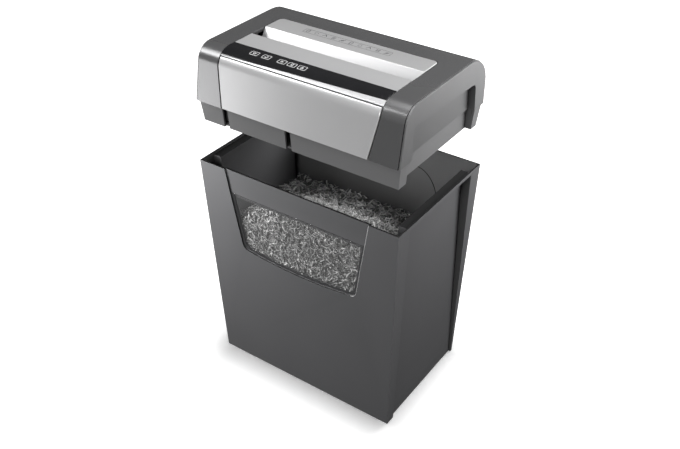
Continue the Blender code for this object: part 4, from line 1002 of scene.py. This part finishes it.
# ---------------------------------------------------------------- floor, light and camera


def aim(obj, target):
    direction = Vector(target) - obj.location
    obj.rotation_euler = direction.to_track_quat("-Z", "Y").to_euler()


def area_light(name, place, target, size, power, receivers=None):
    """A square soft panel; receivers is the collection that it lights, or None for everything."""
    data = bpy.data.lights.new(name, "AREA")
    data.energy = power
    data.size = size
    light = bpy.data.objects.new(name, data)
    light.location = place
    bpy.context.scene.collection.objects.link(light)
    aim(light, target)
    light.visible_camera = False
    if receivers is not None:
        light.light_linking.receiver_collection = receivers


def lit_group(name, belongs):
    """A collection of the pieces that pass a test, for lights that reach only them."""
    group = bpy.data.collections.new(name)
    for obj in bpy.data.objects:
        if obj.type == "MESH" and belongs(obj.name):
            group.objects.link(obj)
    return group


def floor_material():
    """White that glows, and fades out under the bin into a soft painted contact shadow."""
    shader = Shader("floor_white", (0.93, 0.93, 0.93), roughness=0.9).mottled(scale=3.0, amount=0.004)
    shader.set(Emission_Color=WHITE)
    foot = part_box("bin_body")[1]
    patch = (foot.x * FOOT_SHARE, foot.y * FOOT_SHARE, 0.0)
    # Emission drops towards the bin's foot: a painted contact shadow
    beyond = shader.vector_step("SUBTRACT", shader.vector_step("ABSOLUTE", shader.place), patch)
    away = shader.vector_step("LENGTH", shader.vector_step("MAXIMUM", beyond, (0.0, 0.0, 0.0)))
    glow = shader.spread(away, (0.0, GLOW_REACH), GLOW_RANGE)
    shader.links.new(glow, shader.shader.inputs["Emission Strength"])
    return shader.material


def build_stage():
    bm = bmesh.new()
    bmesh.ops.create_circle(bm, cap_ends=True, radius=FLOOR_RADIUS, segments=FLOOR_SIDES)
    mesh = bpy.data.meshes.new("floor")
    bm.to_mesh(mesh)
    bm.free()
    mesh.materials.append(floor_material())
    floor = bpy.data.objects.new("floor", mesh)
    floor.location.z = -FLOOR_SINK
    bpy.context.scene.collection.objects.link(floor)
    floor.visible_glossy = False
    floor.visible_diffuse = False


def build_world():
    """A white backdrop for the camera, and a dim grey room for everything else."""
    world = bpy.data.worlds.new("studio")
    bpy.context.scene.world = world
    world.use_nodes = True
    nodes, links = world.node_tree.nodes, world.node_tree.links
    nodes.clear()
    room = nodes.new("ShaderNodeBackground")
    room.inputs["Color"].default_value = (ROOM_GREY, ROOM_GREY, ROOM_GREY, 1.0)
    room.inputs["Strength"].default_value = ROOM_STRENGTH
    seen = nodes.new("ShaderNodeBackground")
    seen.inputs["Color"].default_value = WHITE
    seen.inputs["Strength"].default_value = 1.0
    mix = nodes.new("ShaderNodeMixShader")
    ray = nodes.new("ShaderNodeLightPath")
    out = nodes.new("ShaderNodeOutputWorld")
    links.new(ray.outputs["Is Camera Ray"], mix.inputs["Fac"])
    links.new(room.outputs["Background"], mix.inputs[1])
    links.new(seen.outputs["Background"], mix.inputs[2])
    links.new(mix.outputs["Shader"], out.inputs["Surface"])


def build_lights():
    """Soft panels around the machine; the low ones take the place of a white table's glow on its sides."""
    bin_names = [f"{node}_shaped" for node, body in BODY_OF.items() if body == "bin"]
    machine = lit_group("machine_lit", lambda name: name != "floor")
    shell = lit_group("head_lit", lambda name: name in ("head_casing_shaped", "skirt_shaped"))
    lower = lit_group("bin_lit", lambda name: name in bin_names or name.startswith("cut_paper"))

    head = (0.0, 0.0, 0.42)
    right = (0.16, 0.0, 0.30)
    # name, place, target, size, power, and what it lights if not everything
    panels = (
        ("overhead", (0.0, 0.0, 2.0), head, 1.0, 20.0),
        ("rear_overhead", (0.3, 1.2, 2.2), head, 1.5, 6.5),
        ("rear_panel", (0.35, 1.6, 1.3), head, 0.9, 12.5),
        ("key_panel", (-1.35, -1.05, 1.95), head, 0.8, 19.3, machine),
        ("front_panel_light", (0.3, -2.0, 1.2), (0.0, 0.0, 0.30), 0.9, 29.0, machine),
        ("left_low_panel", (-0.80, -0.62, 0.28), (-0.16, -0.11, 0.38), 0.5, 2.1, machine),
        ("right_near_panel", (0.65, 0.35, 0.65), right, 0.35, 7.7, machine),
        ("right_rear_panel", (0.95, 1.10, 0.30), (0.16, 0.0, 0.42), 0.9, 5.5, machine),
        ("left_shoulder_panel", (-0.25, -0.27, 0.43), (-0.16, -0.10, 0.41), 0.16, 0.13, shell),
        ("bin_left_panel", (-0.42, -0.36, 0.42), (-0.12, -0.10, 0.30), 0.25, 6.7, lower),
        ("bin_right_panel", (0.45, 0.30, 0.62), (0.16, 0.05, 0.30), 0.3, 4.1, lower),
    )
    for panel in panels:
        area_light(*panel)


def build_camera():
    data = bpy.data.cameras.new("camera")
    data.lens = CAMERA_LENS
    data.sensor_width = CAMERA_SENSOR
    camera = bpy.data.objects.new("camera", data)
    camera.location = CAMERA_PLACE
    camera.rotation_euler = (-Vector(CAMERA_BACK)).to_track_quat("-Z", "Y").to_euler()
    bpy.context.scene.collection.objects.link(camera)
    bpy.context.scene.camera = camera


def main():
    build_camera()
    materials = make_materials()
    build_frame_pieces(materials)
    build_window_surround(materials)
    build_back_line(materials)
    build_key_print(materials)
    build_deck_print(materials)
    build_shreds(materials)
    build_stage()
    build_world()
    build_lights()
    bpy.context.scene.view_settings.view_transform = "Standard"


main()
bpy.context.view_layer.update()
